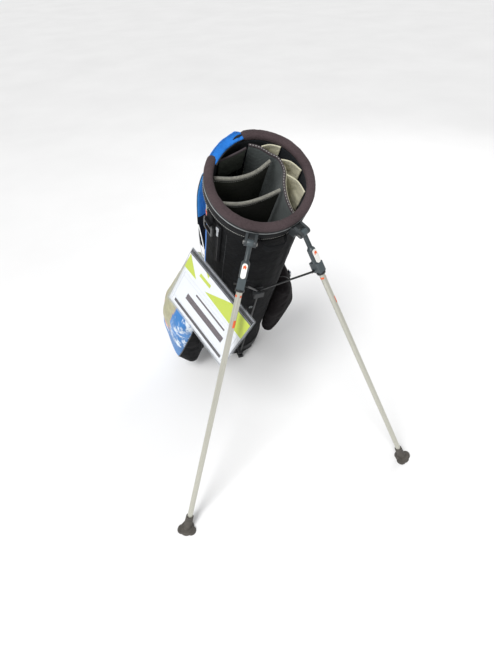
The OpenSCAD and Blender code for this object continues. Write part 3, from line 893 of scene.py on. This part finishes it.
def dividers():
    arc = divider_line(ARC, 90, lambda t: DIVIDER_TOP + 0.010 * math.sin(math.pi * t) ** 0.8)
    divider_sheet("arc_panel", lowered(arc, 0.002), 0.208, ["cream_divider", "grey_divider"], 0.0,
                  "grey_divider", "arc_divider")
    add_band("arc_binding", arc, lambda t: oval(0.0060, 0.0085, 14, 2.4), "binding", "grey_divider")
    add_seam("arc_stitching", lowered(arc, -0.0036, -0.0012), 0.0066, 0.0008, "thread", "grey_divider",
             COLLAR, length=0.0036)
    cross_divider("cross_upper", CROSS_UPPER, "cross_divider_upper", 0.007)
    cross_divider("cross_lower", CROSS_LOWER, "cross_divider_lower", 0.009)
    rail = divider_line(BACK_RAIL, 30, lambda t: DIVIDER_TOP + 0.003 * t)
    divider_sheet("back_rail_panel", lowered(rail, 0.003), 0.070, ["rail_cloth"], 0.002,
                  "dark_divider", "back_rail")
    add_band("back_rail_binding", rail, lambda t: oval(0.0050, 0.0070, 14, 2.4), "binding", "dark_divider")
    lip = [in_room(p, LINE_ROOM) for p in lowered(arc, 0.003, 0.0052)][38:88]
    divider_sheet("arc_cream_lip", lip, 0.060, ["cream_divider"], 0.004, "cream_divider", thickness=0.0020)
    for index, points in enumerate(WINGS, 1):
        line = divider_line(points, 28, lambda t: DIVIDER_TOP + 0.006 + 0.006 * t)
        divider_sheet(f"wing_panel_{index}", line, 0.085, ["cream_divider"], 0.005,
                      "cream_divider", f"wing_divider_{index}", thickness=0.0022)
        add_seam(f"wing_stitching_{index}", lowered(line, 0.004, -0.0013), 0.005, 0.0004,
                 "thread", "cream_divider", COLLAR)


LIFT_HANDLE = [[97, -66], [103, -52], [108, -28], [110, -6], [109, 14], [105, 36], [97, 54]]


def lift_handle():
    """A folded band of blue cloth across the rim's gap; its ends dive under the rim roll."""
    turned = turn(HANDLE_AZIMUTH, "Z")
    path = resampled(spline([(x * MM, y * MM, 0) for x, y in LIFT_HANDLE], 10), 80)
    path = [turned @ Vector((p.x, p.y, 0.003 - 0.016 * abs(2 * i / 79 - 1) ** 5)) for i, p in enumerate(path)]

    def band_section(t):
        grip = math.sin(math.pi * t)
        width = 0.012 + 0.0135 * ease(grip, 0.0, 0.5) - 0.0045 * t
        out = []
        for x, y in oval(width, 0.0075 + 0.002 * grip, 26, 2.6):
            cup = 0.0026 * (2 * x / width) ** 2
            fold = 0.0030 * wobble(t * 5, x * 90, y * 40, 6.0) + 0.0020 * wobble(t * 13, x * 160, 0, 9.0)
            out.append((x, y + cup + fold))
        return out
    band = add_band("lift_band", path, band_section, "blue_fabric", "blue_fabric", "lift_handle")
    middle = sum(path, Vector()) / len(path)
    inward = Vector((-middle.x, -middle.y, 0)).normalized()
    edge = [p + inward * 0.0118 + Vector((0, 0, 0.0008)) for p in path[9:-9]]
    add_trim("lift_piping", edge, 0.0017, "dark_piping", "black_fabric", matrix=COLLAR)
    line = [p - inward * 0.0082 + Vector((0, 0, 0.0062)) for p in path[10:-10]]
    add_seam("lift_stitching", line, 0.005, 0.0005, "dark_thread", "blue_fabric", COLLAR)
    fold = [p + inward * (0.001 + 0.003 * k / 21) + Vector((0, 0, 0.0052)) for k, p in enumerate(path[5:27])]
    add_band("lift_fold", fold, lambda t: oval(0.0066 * math.sin(math.pi * (0.06 + 0.88 * t)), 0.0030, 12),
             "lining", "black_fabric")


# ---------------------------------------------------------------- pockets and zippers
LEFT_POCKET = [
    [-134, -88, 480], [-148, -104, 250], [-182, -108, 108], [-205, -92, 390], [-213, -90, 142],
    [-226, -20, 350], [-228, 10, 200], [-200, 70, 290], [-128, 40, 535], [-150, 60, 160], [-166, -40, 520]
]
RIGHT_POCKET = [
    [128, -58, 420], [162, -44, 300], [150, -30, 190], [112, -78, 160], [162, 20, 300],
    [140, 56, 400], [138, 60, 190], [118, -20, 470], [102, -82, 300], [116, -64, 430]
]
POCKET_R = 0.026
PUFF = 0.006


def outside_trunk(point, gap):
    """Keeps a bag-local point clear of the trunk and the base cup."""
    limit = trunk_r(point.z) + gap
    if point.z < CUP_TOP + 0.03:
        limit = 0.112 + gap
    flat = math.hypot(point.x, point.y)
    if flat < limit:
        point = Vector((point.x * limit / flat, point.y * limit / flat, point.z))
    return point


GATHER_TOP = 0.10


def shaped_pocket(name, places, materials, seed):
    """A pocket: a puffed skin with creases, laid against the trunk and gathered at its foot."""
    spots = [Vector(p) * MM for p in places]
    piece = ball_hull(name, spots, POCKET_R - PUFF + 0.001, materials)
    puff(piece, 0.0065, PUFF)
    middle = sum(spots, Vector()) / len(spots)

    def creased(p):
        away = (p - middle).normalized()
        crease = 0.0032 * wobble(p.x * 13, p.y * 13, p.z * 9, seed)
        crease += 0.0016 * wobble(p.x * 34, p.y * 34, p.z * 20, seed + 2)
        if p.z < GATHER_TOP:
            crease += 0.0016 * math.sin(math.atan2(p.y - middle.y, p.x - middle.x) * 34)
        return outside_trunk(p + away * crease, 0.0006)
    settle(piece, creased)
    return piece


def seam_points(piece, normal, middle, lift):
    """The outline where a plane cuts the piece, in order round it and lifted off it."""
    build = bmesh.new()
    build.from_mesh(piece.data)
    cut = bmesh.ops.bisect_plane(build, geom=build.verts[:] + build.edges[:] + build.faces[:],
                                 plane_co=middle, plane_no=normal)
    points = [e.co.copy() for e in cut["geom_cut"] if isinstance(e, bmesh.types.BMVert)]
    build.free()
    centre = sum(points, Vector()) / len(points)
    side = normal.orthogonal().normalized()
    other = normal.cross(side).normalized()
    ring = sorted(points, key=lambda p: math.atan2((p - centre).dot(other), (p - centre).dot(side)))
    closed = resampled(ring + [ring[0]], 181)[:-1]
    return [p + (p - centre).normalized() * lift for p in closed]


def left_pocket():
    """The large pocket: printed in front of its seam, and black gusset behind it."""
    piece = shaped_pocket("left_pocket_cloth", LEFT_POCKET, ["pocket_print", "black_fabric"], 11.0)
    normal, middle = Vector((0.866, -0.5, -0.20)).normalized(), Vector((-0.165, -0.060, 0.3))
    for polygon in piece.data.polygons:
        polygon.material_index = 1 if (polygon.center - middle).dot(normal) > 0 else 0
    ring = seam_points(piece, normal, middle, 0.0004)
    piece.data.transform(BAG)
    place(piece, "bag", "blue_fabric", "left_pocket", "left_pocket_gusset")
    add_trim("left_pocket_seam", ring, 0.0018, "dark_piping", "black_fabric", closed=True, up=tuple(normal))


def right_pocket():
    piece = shaped_pocket("right_pocket_cloth", RIGHT_POCKET, ["brown_fabric"], 23.0)
    normal, middle = Vector((0.2, 1, 0.1)).normalized(), Vector((0.15, -0.034, 0.3))
    ring = seam_points(piece, normal, middle, 0.0004)
    piece.data.transform(BAG)
    place(piece, "bag", "brown_fabric", "right_pocket")
    add_trim("right_pocket_seam", ring, 0.0015, "dark_piping", "brown_fabric", closed=True, up=tuple(normal))


TAPE = ((-0.0072, 0.0008), (-0.0052, -0.0006), (-0.0012, -0.0009),
        (0.0012, -0.0009), (0.0052, -0.0006), (0.0072, 0.0008))
TOOTH = ((-0.0009, -0.0008), (-0.0026, -0.0006), (-0.0026, 0.0006), (-0.0009, 0.0008))
TOOTH_PITCH = 0.0021
ZIP_END = 0.003


def zipper(name, matrix, low, high, node):
    """A coil zipper along Z of its frame, facing -Y: two tapes, and teeth that mesh."""
    rows = []
    for z in evenly(low, high - low, 39):
        ripple = 0.0003 * wobble(z * 60, 0, 0, low)
        rows.append([Vector((x, y + ripple, z)) for x, y in TAPE])
    add_panel(name + "_tape", rows, "webbing", 0.0010, "zip", node, matrix=matrix, offset=1)
    verts, faces = [], []
    for k in range(int((high - low - 2 * ZIP_END) / TOOTH_PITCH)):
        z = low + ZIP_END + TOOTH_PITCH * k
        side = 1 if k % 2 else -1
        first = len(verts)
        verts += [Vector((side * x, y, z + dz)) for x in (-0.0010, 0.0020) for y, dz in TOOTH]
        faces += [tuple(first + f for f in face) for face in grid_faces(2, 4, loop_columns=True)]
        faces += [(first, first + 1, first + 2, first + 3), (first + 7, first + 6, first + 5, first + 4)]
    teeth = add_mesh(name + "_teeth", verts, faces, ["zip"], matrix, smooth=False)
    modifier(teeth, "BEVEL", width=0.0003, segments=2)
    place(teeth, "bag", "zip")


def zippers():
    zipper("left_zip", LEFT_ZIP, -0.190, 0.0, "left_pocket_zipper")
    zipper("right_zip", RIGHT_ZIP, -0.120, 0.0, "right_pocket_zipper")
    flare = math.degrees(math.atan((TRUNK_TOP_R - TRUNK_BASE_R) / COLLAR_Z))
    accessory = skin_frame(208, 0.745, 0.0014) @ turn(flare, "X")
    zipper("accessory_zip", accessory, -0.078, 0.078, "accessory_zipper")


# ---------------------------------------------------------------- carrying parts
STRAP_SIDES = 24
STRAP = [[trunk_r(0.8) + 0.0065, 0.800], [0.150, 0.790], [0.172, 0.690], [0.168, 0.560],
         [0.150, 0.452], [trunk_r(0.43) + 0.0065, 0.440]]


def strap(name, azimuth, node):
    """A padded shoulder strap on the back, with webbing at both ends and piped edges."""
    turned = turn(azimuth, "Z")
    path = [turned @ p for p in resampled(spline([(r, 0, z) for r, z in STRAP], 12), 110)]
    sideways = turned @ Vector((0, 1, 0))

    def pad_section(t):
        pad = ease(t, 0.02, 0.13) * ease(1 - t, 0.02, 0.16)
        width = 0.030 + 0.021 * pad
        channel = 0.0016 * max(0.0, math.cos(2 * math.pi * t * 9)) ** 6 * pad
        thick = 0.0035 + (0.0085 - channel) * pad
        out = []
        for y, x in oval(thick, width, STRAP_SIDES, 3.2):
            crown = 1 - 0.25 * (2 * x / width) ** 4
            out.append((x + 0.0006 * wobble(t * 9, x * 60, y * 60, 8.0), y * crown))
        return out
    pad = add_sweep(name + "_pad", path, pad_section, lambda i: step_at(path, i).cross(sideways),
                    ["strap_fabric", "sky_fabric"], BAG)
    # The strap's blue part takes the lighter copy of the blue cloth, which is painted light.
    for polygon in pad.data.polygons:
        polygon.material_index = 1 if 10 * STRAP_SIDES < polygon.index < 62 * STRAP_SIDES else 0
    place(pad, "bag", "strap_fabric", node)
    for label, low, high in (("top", 0.794, 0.838), ("bottom", 0.394, 0.447)):
        rows = []
        for z in evenly(low, high - low, 8):
            r = trunk_r(z) + 0.0022
            spread = [math.radians(azimuth) + 0.0125 / r * (k / 4 - 1) for k in range(9)]
            rows.append([Vector((r * math.cos(a), r * math.sin(a), z)) for a in spread])
        add_panel(f"{name}_webbing_{label}", rows, "webbing", 0.0024, "strap_fabric")
    for label, side in (("left", -1), ("right", 1)):
        edge = []
        for i, p in enumerate(path):
            reach = 0.0148 + 0.0105 * ease(i / 109, 0.02, 0.13) * ease(1 - i / 109, 0.02, 0.16)
            edge.append(p + sideways * side * reach)
        add_trim(f"{name}_edge_{label}", edge[10:-12], 0.0013, "dark_piping", "strap_fabric",
                 up=tuple(sideways))


def band_handle(name, points, count, width, thick, node, side):
    """A sewn webbing handle with a padded middle; side is the way its width runs."""
    line = resampled(spline(points, 8), count)

    def band_section(t):
        grip = ease(t, 0.22, 0.34) * ease(1 - t, 0.22, 0.34)
        return oval(width, thick + 0.002 * grip, 16, 4.0)
    add_band(name + "_band", line, band_section, "webbing", "black_fabric", node,
             up=lambda i: step_at(line, i).cross(Vector(side)), matrix=BAG)


SPINE_GRIP = [(0, 0.1135, 0.560), (0, 0.121, 0.562), (0, 0.139, 0.575), (0, 0.1475, 0.605), (0, 0.149, 0.645),
              (0, 0.1475, 0.685), (0, 0.139, 0.715), (0, 0.122, 0.728), (0, 0.1175, 0.730)]
BELLY_GRIP = [(-0.030, -0.1165, 0.822), (-0.0285, -0.126, 0.822), (-0.022, -0.1362, 0.821),
              (-0.011, -0.1382, 0.819), (0, -0.1385, 0.818), (0.011, -0.1382, 0.819),
              (0.022, -0.1362, 0.821), (0.0285, -0.126, 0.822), (0.030, -0.1165, 0.822)]


def handles():
    band_handle("spine_grip", SPINE_GRIP, 60, 0.028, 0.0055, "spine_handle", (1, 0, 0))
    for name, z in (("spine_patch_low", 0.566), ("spine_patch_high", 0.722)):
        r = trunk_r(z) + 0.0012
        rows = [[Vector((x, math.sqrt(r * r - x * x), z + dz)) for x in evenly(-0.017, 0.034, 8)]
                for dz in (-0.012, -0.004, 0.004, 0.012)]
        add_panel(name, rows, "webbing", 0.0022, "black_fabric")
    band_handle("belly_grip", BELLY_GRIP, 50, 0.019, 0.0034, "belly_handle", (0, 0, 1))


HIP_PAD = Vector((0, 0.128, 0.312))


def hip_pad():
    """A cushion on the back with two sewn channels and piping round it."""
    spots = [Vector((x, HIP_PAD.y, 0.312 + z)) for x in (-0.062, 0.062) for z in (-0.050, 0.050)]
    piece = ball_hull("hip_pad_cushion", spots, 0.0125, ["strap_fabric"])
    puff(piece, 0.004, 0.005)

    def grooved(p):
        groove = sum(math.exp(-((p.x - x) / 0.0035) ** 2) for x in (-0.027, 0.027)) * 0.0035
        return outside_trunk(p - Vector((0, groove if p.y > 0.128 else 0, 0)), 0.0008)
    settle(piece, grooved)
    ring = seam_points(piece, Vector((0, 1, 0)), HIP_PAD, 0.0002)
    piece.data.transform(BAG)
    place(piece, "bag", "strap_fabric", "hip_pad")
    add_trim("hip_pad_piping", ring, 0.0016, "dark_piping", "strap_fabric", closed=True, up=(0, 1, 0))


def small_trim():
    """The hook's webbing tab with its folded end, and a cord ring on the front."""
    tab = skin_frame(193, 0.818, 0.0022)
    plate = [[Vector((x, -0.0018, z)) for x in (-0.0128, -0.006, 0, 0.006, 0.0128)]
             for z in evenly(0.015, -0.032, 9)]
    add_panel("hook_tab_patch", plate, "webbing", 0.0030, "black_fabric", "hook_tab", matrix=tab)
    loop = [Vector((0, -0.0050 - 0.0046 * math.sin(a), -0.017 + 0.0046 * math.cos(a))) for a in full_turn(40)]
    add_band("hook_tab_fold", loop, lambda t: oval(0.024, 0.0016, 12, 4.0), "webbing", "black_fabric",
             up=lambda i: (0, loop[i].y + 0.005, loop[i].z + 0.017), matrix=tab, closed=True)
    ring = [Vector((0.0048 * math.cos(a), -0.0022, 0.0048 * math.sin(a))) for a in full_turn(36)]
    add_trim("front_ring", ring, 0.0010, "cord_ring", "zip_pull", matrix=BAG @ shift(-0.009, -0.120, 0.477),
             closed=True, up=(0, 1, 0))


# ---------------------------------------------------------------- legs
LEG_MARKS = ((0.1165, 0.1215, -60, 240), (0.176, 0.194, -78, 62))
ELBOW = ((0.1030, 0.0074), (0.1032, 0.0098), (0.1052, 0.0104), (0.1080, 0.0098), (0.1084, 0.0073))
WINDOW_FLASH = ((-0.0036, -0.050), (0.0004, -0.0465), (0.0038, -0.0500),
                (0.0030, -0.0560), (-0.0004, -0.0530), (-0.0030, -0.0565))


def leg_details(side, label):
    """Orange marks round the tube, a collar at the sleeve's end and a flash on the window."""
    matrix = leg_frame(side)
    body = f"leg_{label}"
    for index, (start, end, low, high) in enumerate(LEG_MARKS, 1):
        rows = [round_path(r, -z, low, high, 31) for z, r in
                ((start, 0.00702), (start + 0.0004, 0.00716), (end - 0.0004, 0.00716), (end, 0.00702))]
        add_panel(f"{body}_mark_{index}", rows, "orange", 0.0001, "leg_metal", matrix=matrix, body=body,
                  offset=-1)
    rows = [[Vector((r * math.cos(a), r * math.sin(a), -z)) for a in full_turn(48)] for z, r in ELBOW]
    add_panel(f"{body}_elbow_collar", rows, "black_plastic", 0.0006, "leg_plastic", matrix=matrix, body=body,
              offset=-1, loop_columns=True)
    verts = [Vector((x, y, z)) for y in (-0.01075, -0.01035) for x, z in WINDOW_FLASH]
    count = len(WINDOW_FLASH)
    faces = [tuple(range(count)), tuple(reversed(range(count, 2 * count)))]
    faces += [(i, (i + 1) % count, (i + 1) % count + count, i + count) for i in range(count)]
    flash = add_mesh(f"{body}_window_flash", verts, faces, ["orange"], matrix, smooth=False)
    place(flash, body, "window_plastic")


# ---------------------------------------------------------------- hang tag
CARD_W = 0.243
CARD_H = 0.163


def on_card(a, b, lift):
    """A point on the card's face: a runs left to right and b top to bottom, both from 0 to 1."""
    return Vector(((a - 0.5) * CARD_W, -0.0004 - lift, (0.5 - b) * CARD_H))


INK_LIFT = 0.00006
INK_THICKNESS = 0.00003


def card_shape(name, outline, material):
    """A thin printed shape on the card."""
    front = [on_card(a, b, INK_LIFT) for a, b in outline]
    behind = [on_card(a, b, INK_LIFT - INK_THICKNESS) for a, b in outline]
    count = len(outline)
    faces = [tuple(range(count)), tuple(reversed(range(count, 2 * count)))]
    faces += [(i, i + count, (i + 1) % count + count, (i + 1) % count) for i in range(count)]
    piece = add_mesh(name, front + behind, faces, [material], TAG, smooth=False)
    place(piece, "hang_tag", "tag_card")


CARD_CORNERS = {
    "left": [(0.0, 0.0), (0.21, 0.265), (0.0, 0.27)],
    "top": [(0.27, 0.0), (0.33, 0.0), (0.33, 0.055)],
    "right": [(0.368, 0.276), (0.70, 0.0), (1.0, 0.0), (1.0, 0.31)],
}
LINE_W = 0.004
CARD_BARS = {  # left, right, top, bottom and material
    "dark_strip": (0.08, 0.93, 0.87, 0.93, "tag_dark"),
    "bar_small": (0.30, 0.80, 0.45, 0.485, "tag_mauve"),
    "bar_wide": (0.20, 0.84, 0.585, 0.70, "tag_mauve"),
    "bar_lime": (0.22, 0.40, 0.10, 0.16, "tag_green"),
    "line_top": (0.04, 0.96, 0.33, 0.33 + LINE_W, "tag_grey"),
    "line_bottom": (0.04, 0.96, 0.845, 0.845 + LINE_W, "tag_grey"),
    "line_left": (0.04, 0.04 + LINE_W, 0.33, 0.95, "tag_grey"),
    "line_right": (0.96 - LINE_W, 0.96, 0.33, 0.95, "tag_grey"),
    "line_inner": (0.04, 0.96, 0.40, 0.40 + LINE_W, "tag_grey"),
}


def hang_tag():
    """The printed card, the welds of its clear sleeve, and a dark band over the sleeve's top, painted to
    stand in for the black trunk seen through the clear film.
    """
    steps = 24
    rows = [[Vector(((j / steps - 0.5) * CARD_W, 0, (0.5 - i / steps) * CARD_H)) for j in range(steps + 1)]
            for i in range(steps + 1)]
    add_panel("card", rows, "tag_card", 0.0006, "tag_card", "tag_card", matrix=TAG, body="hang_tag")
    for name, outline in CARD_CORNERS.items():
        card_shape("card_green_" + name, outline, "tag_green")
    for name, (left, right, top, bottom, material) in CARD_BARS.items():
        card_shape("card_" + name, [(left, top), (right, top), (right, bottom), (left, bottom)], material)
    weld = [Vector((x, -0.00125, z)) for x, z in
            ((-0.1245, -0.0835), (0.1245, -0.0835), (0.1245, 0.0995), (-0.1245, 0.0995))]
    outline = resampled(weld + [weld[0]], 161)[:-1]
    on_sleeve = {"matrix": TAG, "body": "hang_tag"}
    add_trim("sleeve_weld", outline, 0.0006, "tag_grey", "sleeve_film", closed=True, up=(0, 1, 0), count=6,
             **on_sleeve)
    # A dark film band across the sleeve's top: painted darkness for the black trunk seen through the clear
    # film.
    rows = [[Vector((x, -0.00105 + 0.0002 * wobble(i * 0.4, z * 90, 0), z))
             for i, x in enumerate(evenly(-0.1235, 0.247, 40))] for z in (0.0825, 0.0885, 0.0945, 0.1000)]
    add_panel("sleeve_painted_dark_band", rows, "dark_film", 0.0003, "sleeve_film", **on_sleeve)
    for name, z in (("low", 0.0862), ("high", 0.0968)):
        line = [Vector((x, -0.00135, z)) for x in evenly(-0.1225, 0.245, 40)]
        add_trim("sleeve_line_" + name, line, 0.0004, "tag_grey", "sleeve_film", count=6, **on_sleeve)


LOOP_TOP, LOOP_BOTTOM = Vector((-0.147, -0.322, 0.713)), Vector((-0.142, -0.315, 0.622))


def tag_loop():
    """The white strap loop: a flattened ring from the towel hook through the sleeve's slot."""
    run = LOOP_BOTTOM - LOOP_TOP
    side = (TAG.to_3x3() @ Vector((1, 0, 0))).normalized()
    side = (side - side.project(run)).normalized()
    path = []
    for a in full_turn(90):
        t = 0.5 - 0.5 * math.cos(a)
        path.append(LOOP_TOP + run * t + side * (0.0085 * math.sin(a) * (0.45 + 0.75 * t)))
    add_trim("loop_strand", path, 0.00125, "tag_loop", "tag_loop", "tag_loop", matrix=None, body="hang_tag",
             closed=True, up=tuple(run.cross(side).normalized()))


# ---------------------------------------------------------------- CAD nodes that show as they are
NODE_MATERIALS = {
    "base_plastic": ["base_cup", "rod_guides", "foot_flap", "rod_yoke"],
    "steel": ["foot_hinge_pin", "bracket_screws", "leg_pivot_pin_left", "leg_pivot_pin_right"],
    "stay_metal": ["spine_stay", "side_stays"],
    "black_plastic": ["collar_ring", "strap_buckles", "towel_hook"],
    "bracket_plastic": ["leg_bracket_left", "leg_bracket_right"],
    "leg_plastic": ["leg_left_sleeve", "leg_right_sleeve"],
    "window_plastic": ["leg_left_window", "leg_right_window"],
    "leg_metal": ["leg_left_tube", "leg_right_tube"],
    "foot_rubber": ["leg_left_foot", "leg_right_foot"],
    "sole_rubber": ["flap_sole"],
    "wire": ["push_rod", "strut_left", "strut_right"],
    "zip_pull": ["left_pocket_pull", "right_pocket_pull", "accessory_pull"],
    "sleeve_film": ["tag_sleeve"],
}
SOFT_EDGES = {
    "leg_plastic": 0.0008, "bracket_plastic": 0.0010, "base_plastic": 0.0008, "black_plastic": 0.0007,
    "zip_pull": 0.0004, "foot_rubber": 0.0010,
}


def finish_nodes():
    for material, names in NODE_MATERIALS.items():
        for name in names:
            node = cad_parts[name]
            node.data.materials.clear()
            node.data.materials.append(M[material])
            if material in SOFT_EDGES:
                modifier(node, "WELD", merge_threshold=0.00002)
                modifier(node, "BEVEL", width=SOFT_EDGES[material], segments=2, limit_method="ANGLE",
                         angle_limit=math.radians(40), use_clamp_overlap=True, harden_normals=False)


# ---------------------------------------------------------------- stage
FLOOR_HALF = 30.0
WORLD_LIGHT = 0.56
LIGHT_TARGET = (0, -0.35, 0.4)


def make_stage():
    """A pale floor, an even white world and three soft lights."""
    corners = [(x * FLOOR_HALF, y * FLOOR_HALF, 0) for x, y in ((-1, -1), (1, -1), (1, 1), (-1, 1))]
    floor = add_mesh("floor", corners, [(0, 1, 2, 3)], [])
    n = Nodes("floor_paint")
    shade = n.noise(1.5, 3)
    n.colour(n.ramp(shade, (0.86, 0.86, 0.86, 1), (0.90, 0.90, 0.90, 1)))
    n.rough(shade, 0.75, 0.9)
    floor.data.materials.append(n.material)
    world = bpy.data.worlds.new("studio")
    bpy.context.scene.world = world
    world.use_nodes = True
    background = world.node_tree.nodes["Background"]
    background.inputs["Color"].default_value = (1, 1, 1, 1)
    background.inputs["Strength"].default_value = WORLD_LIGHT
    make_light("sun", "SUN", (-1.3, -1.6, 3.0), LIGHT_TARGET, math.radians(24), 1.55)
    make_light("key", "AREA", (-1.6, -1.8, 2.2), LIGHT_TARGET, 1.0, 26)
    make_light("rim_light", "AREA", (1.8, 1.2, 1.8), LIGHT_TARGET, 1.2, 14)
    bpy.context.scene.view_settings.view_transform = "Standard"


trunk()
accent_flash()
collar()
rim()
dividers()
lift_handle()
left_pocket()
right_pocket()
zippers()
strap("strap_left", 118, "shoulder_strap_left")
strap("strap_right", 58, "shoulder_strap_right")
handles()
hip_pad()
small_trim()
leg_details(-1, "left")
leg_details(1, "right")
hang_tag()
tag_loop()
finish_nodes()
make_stage()
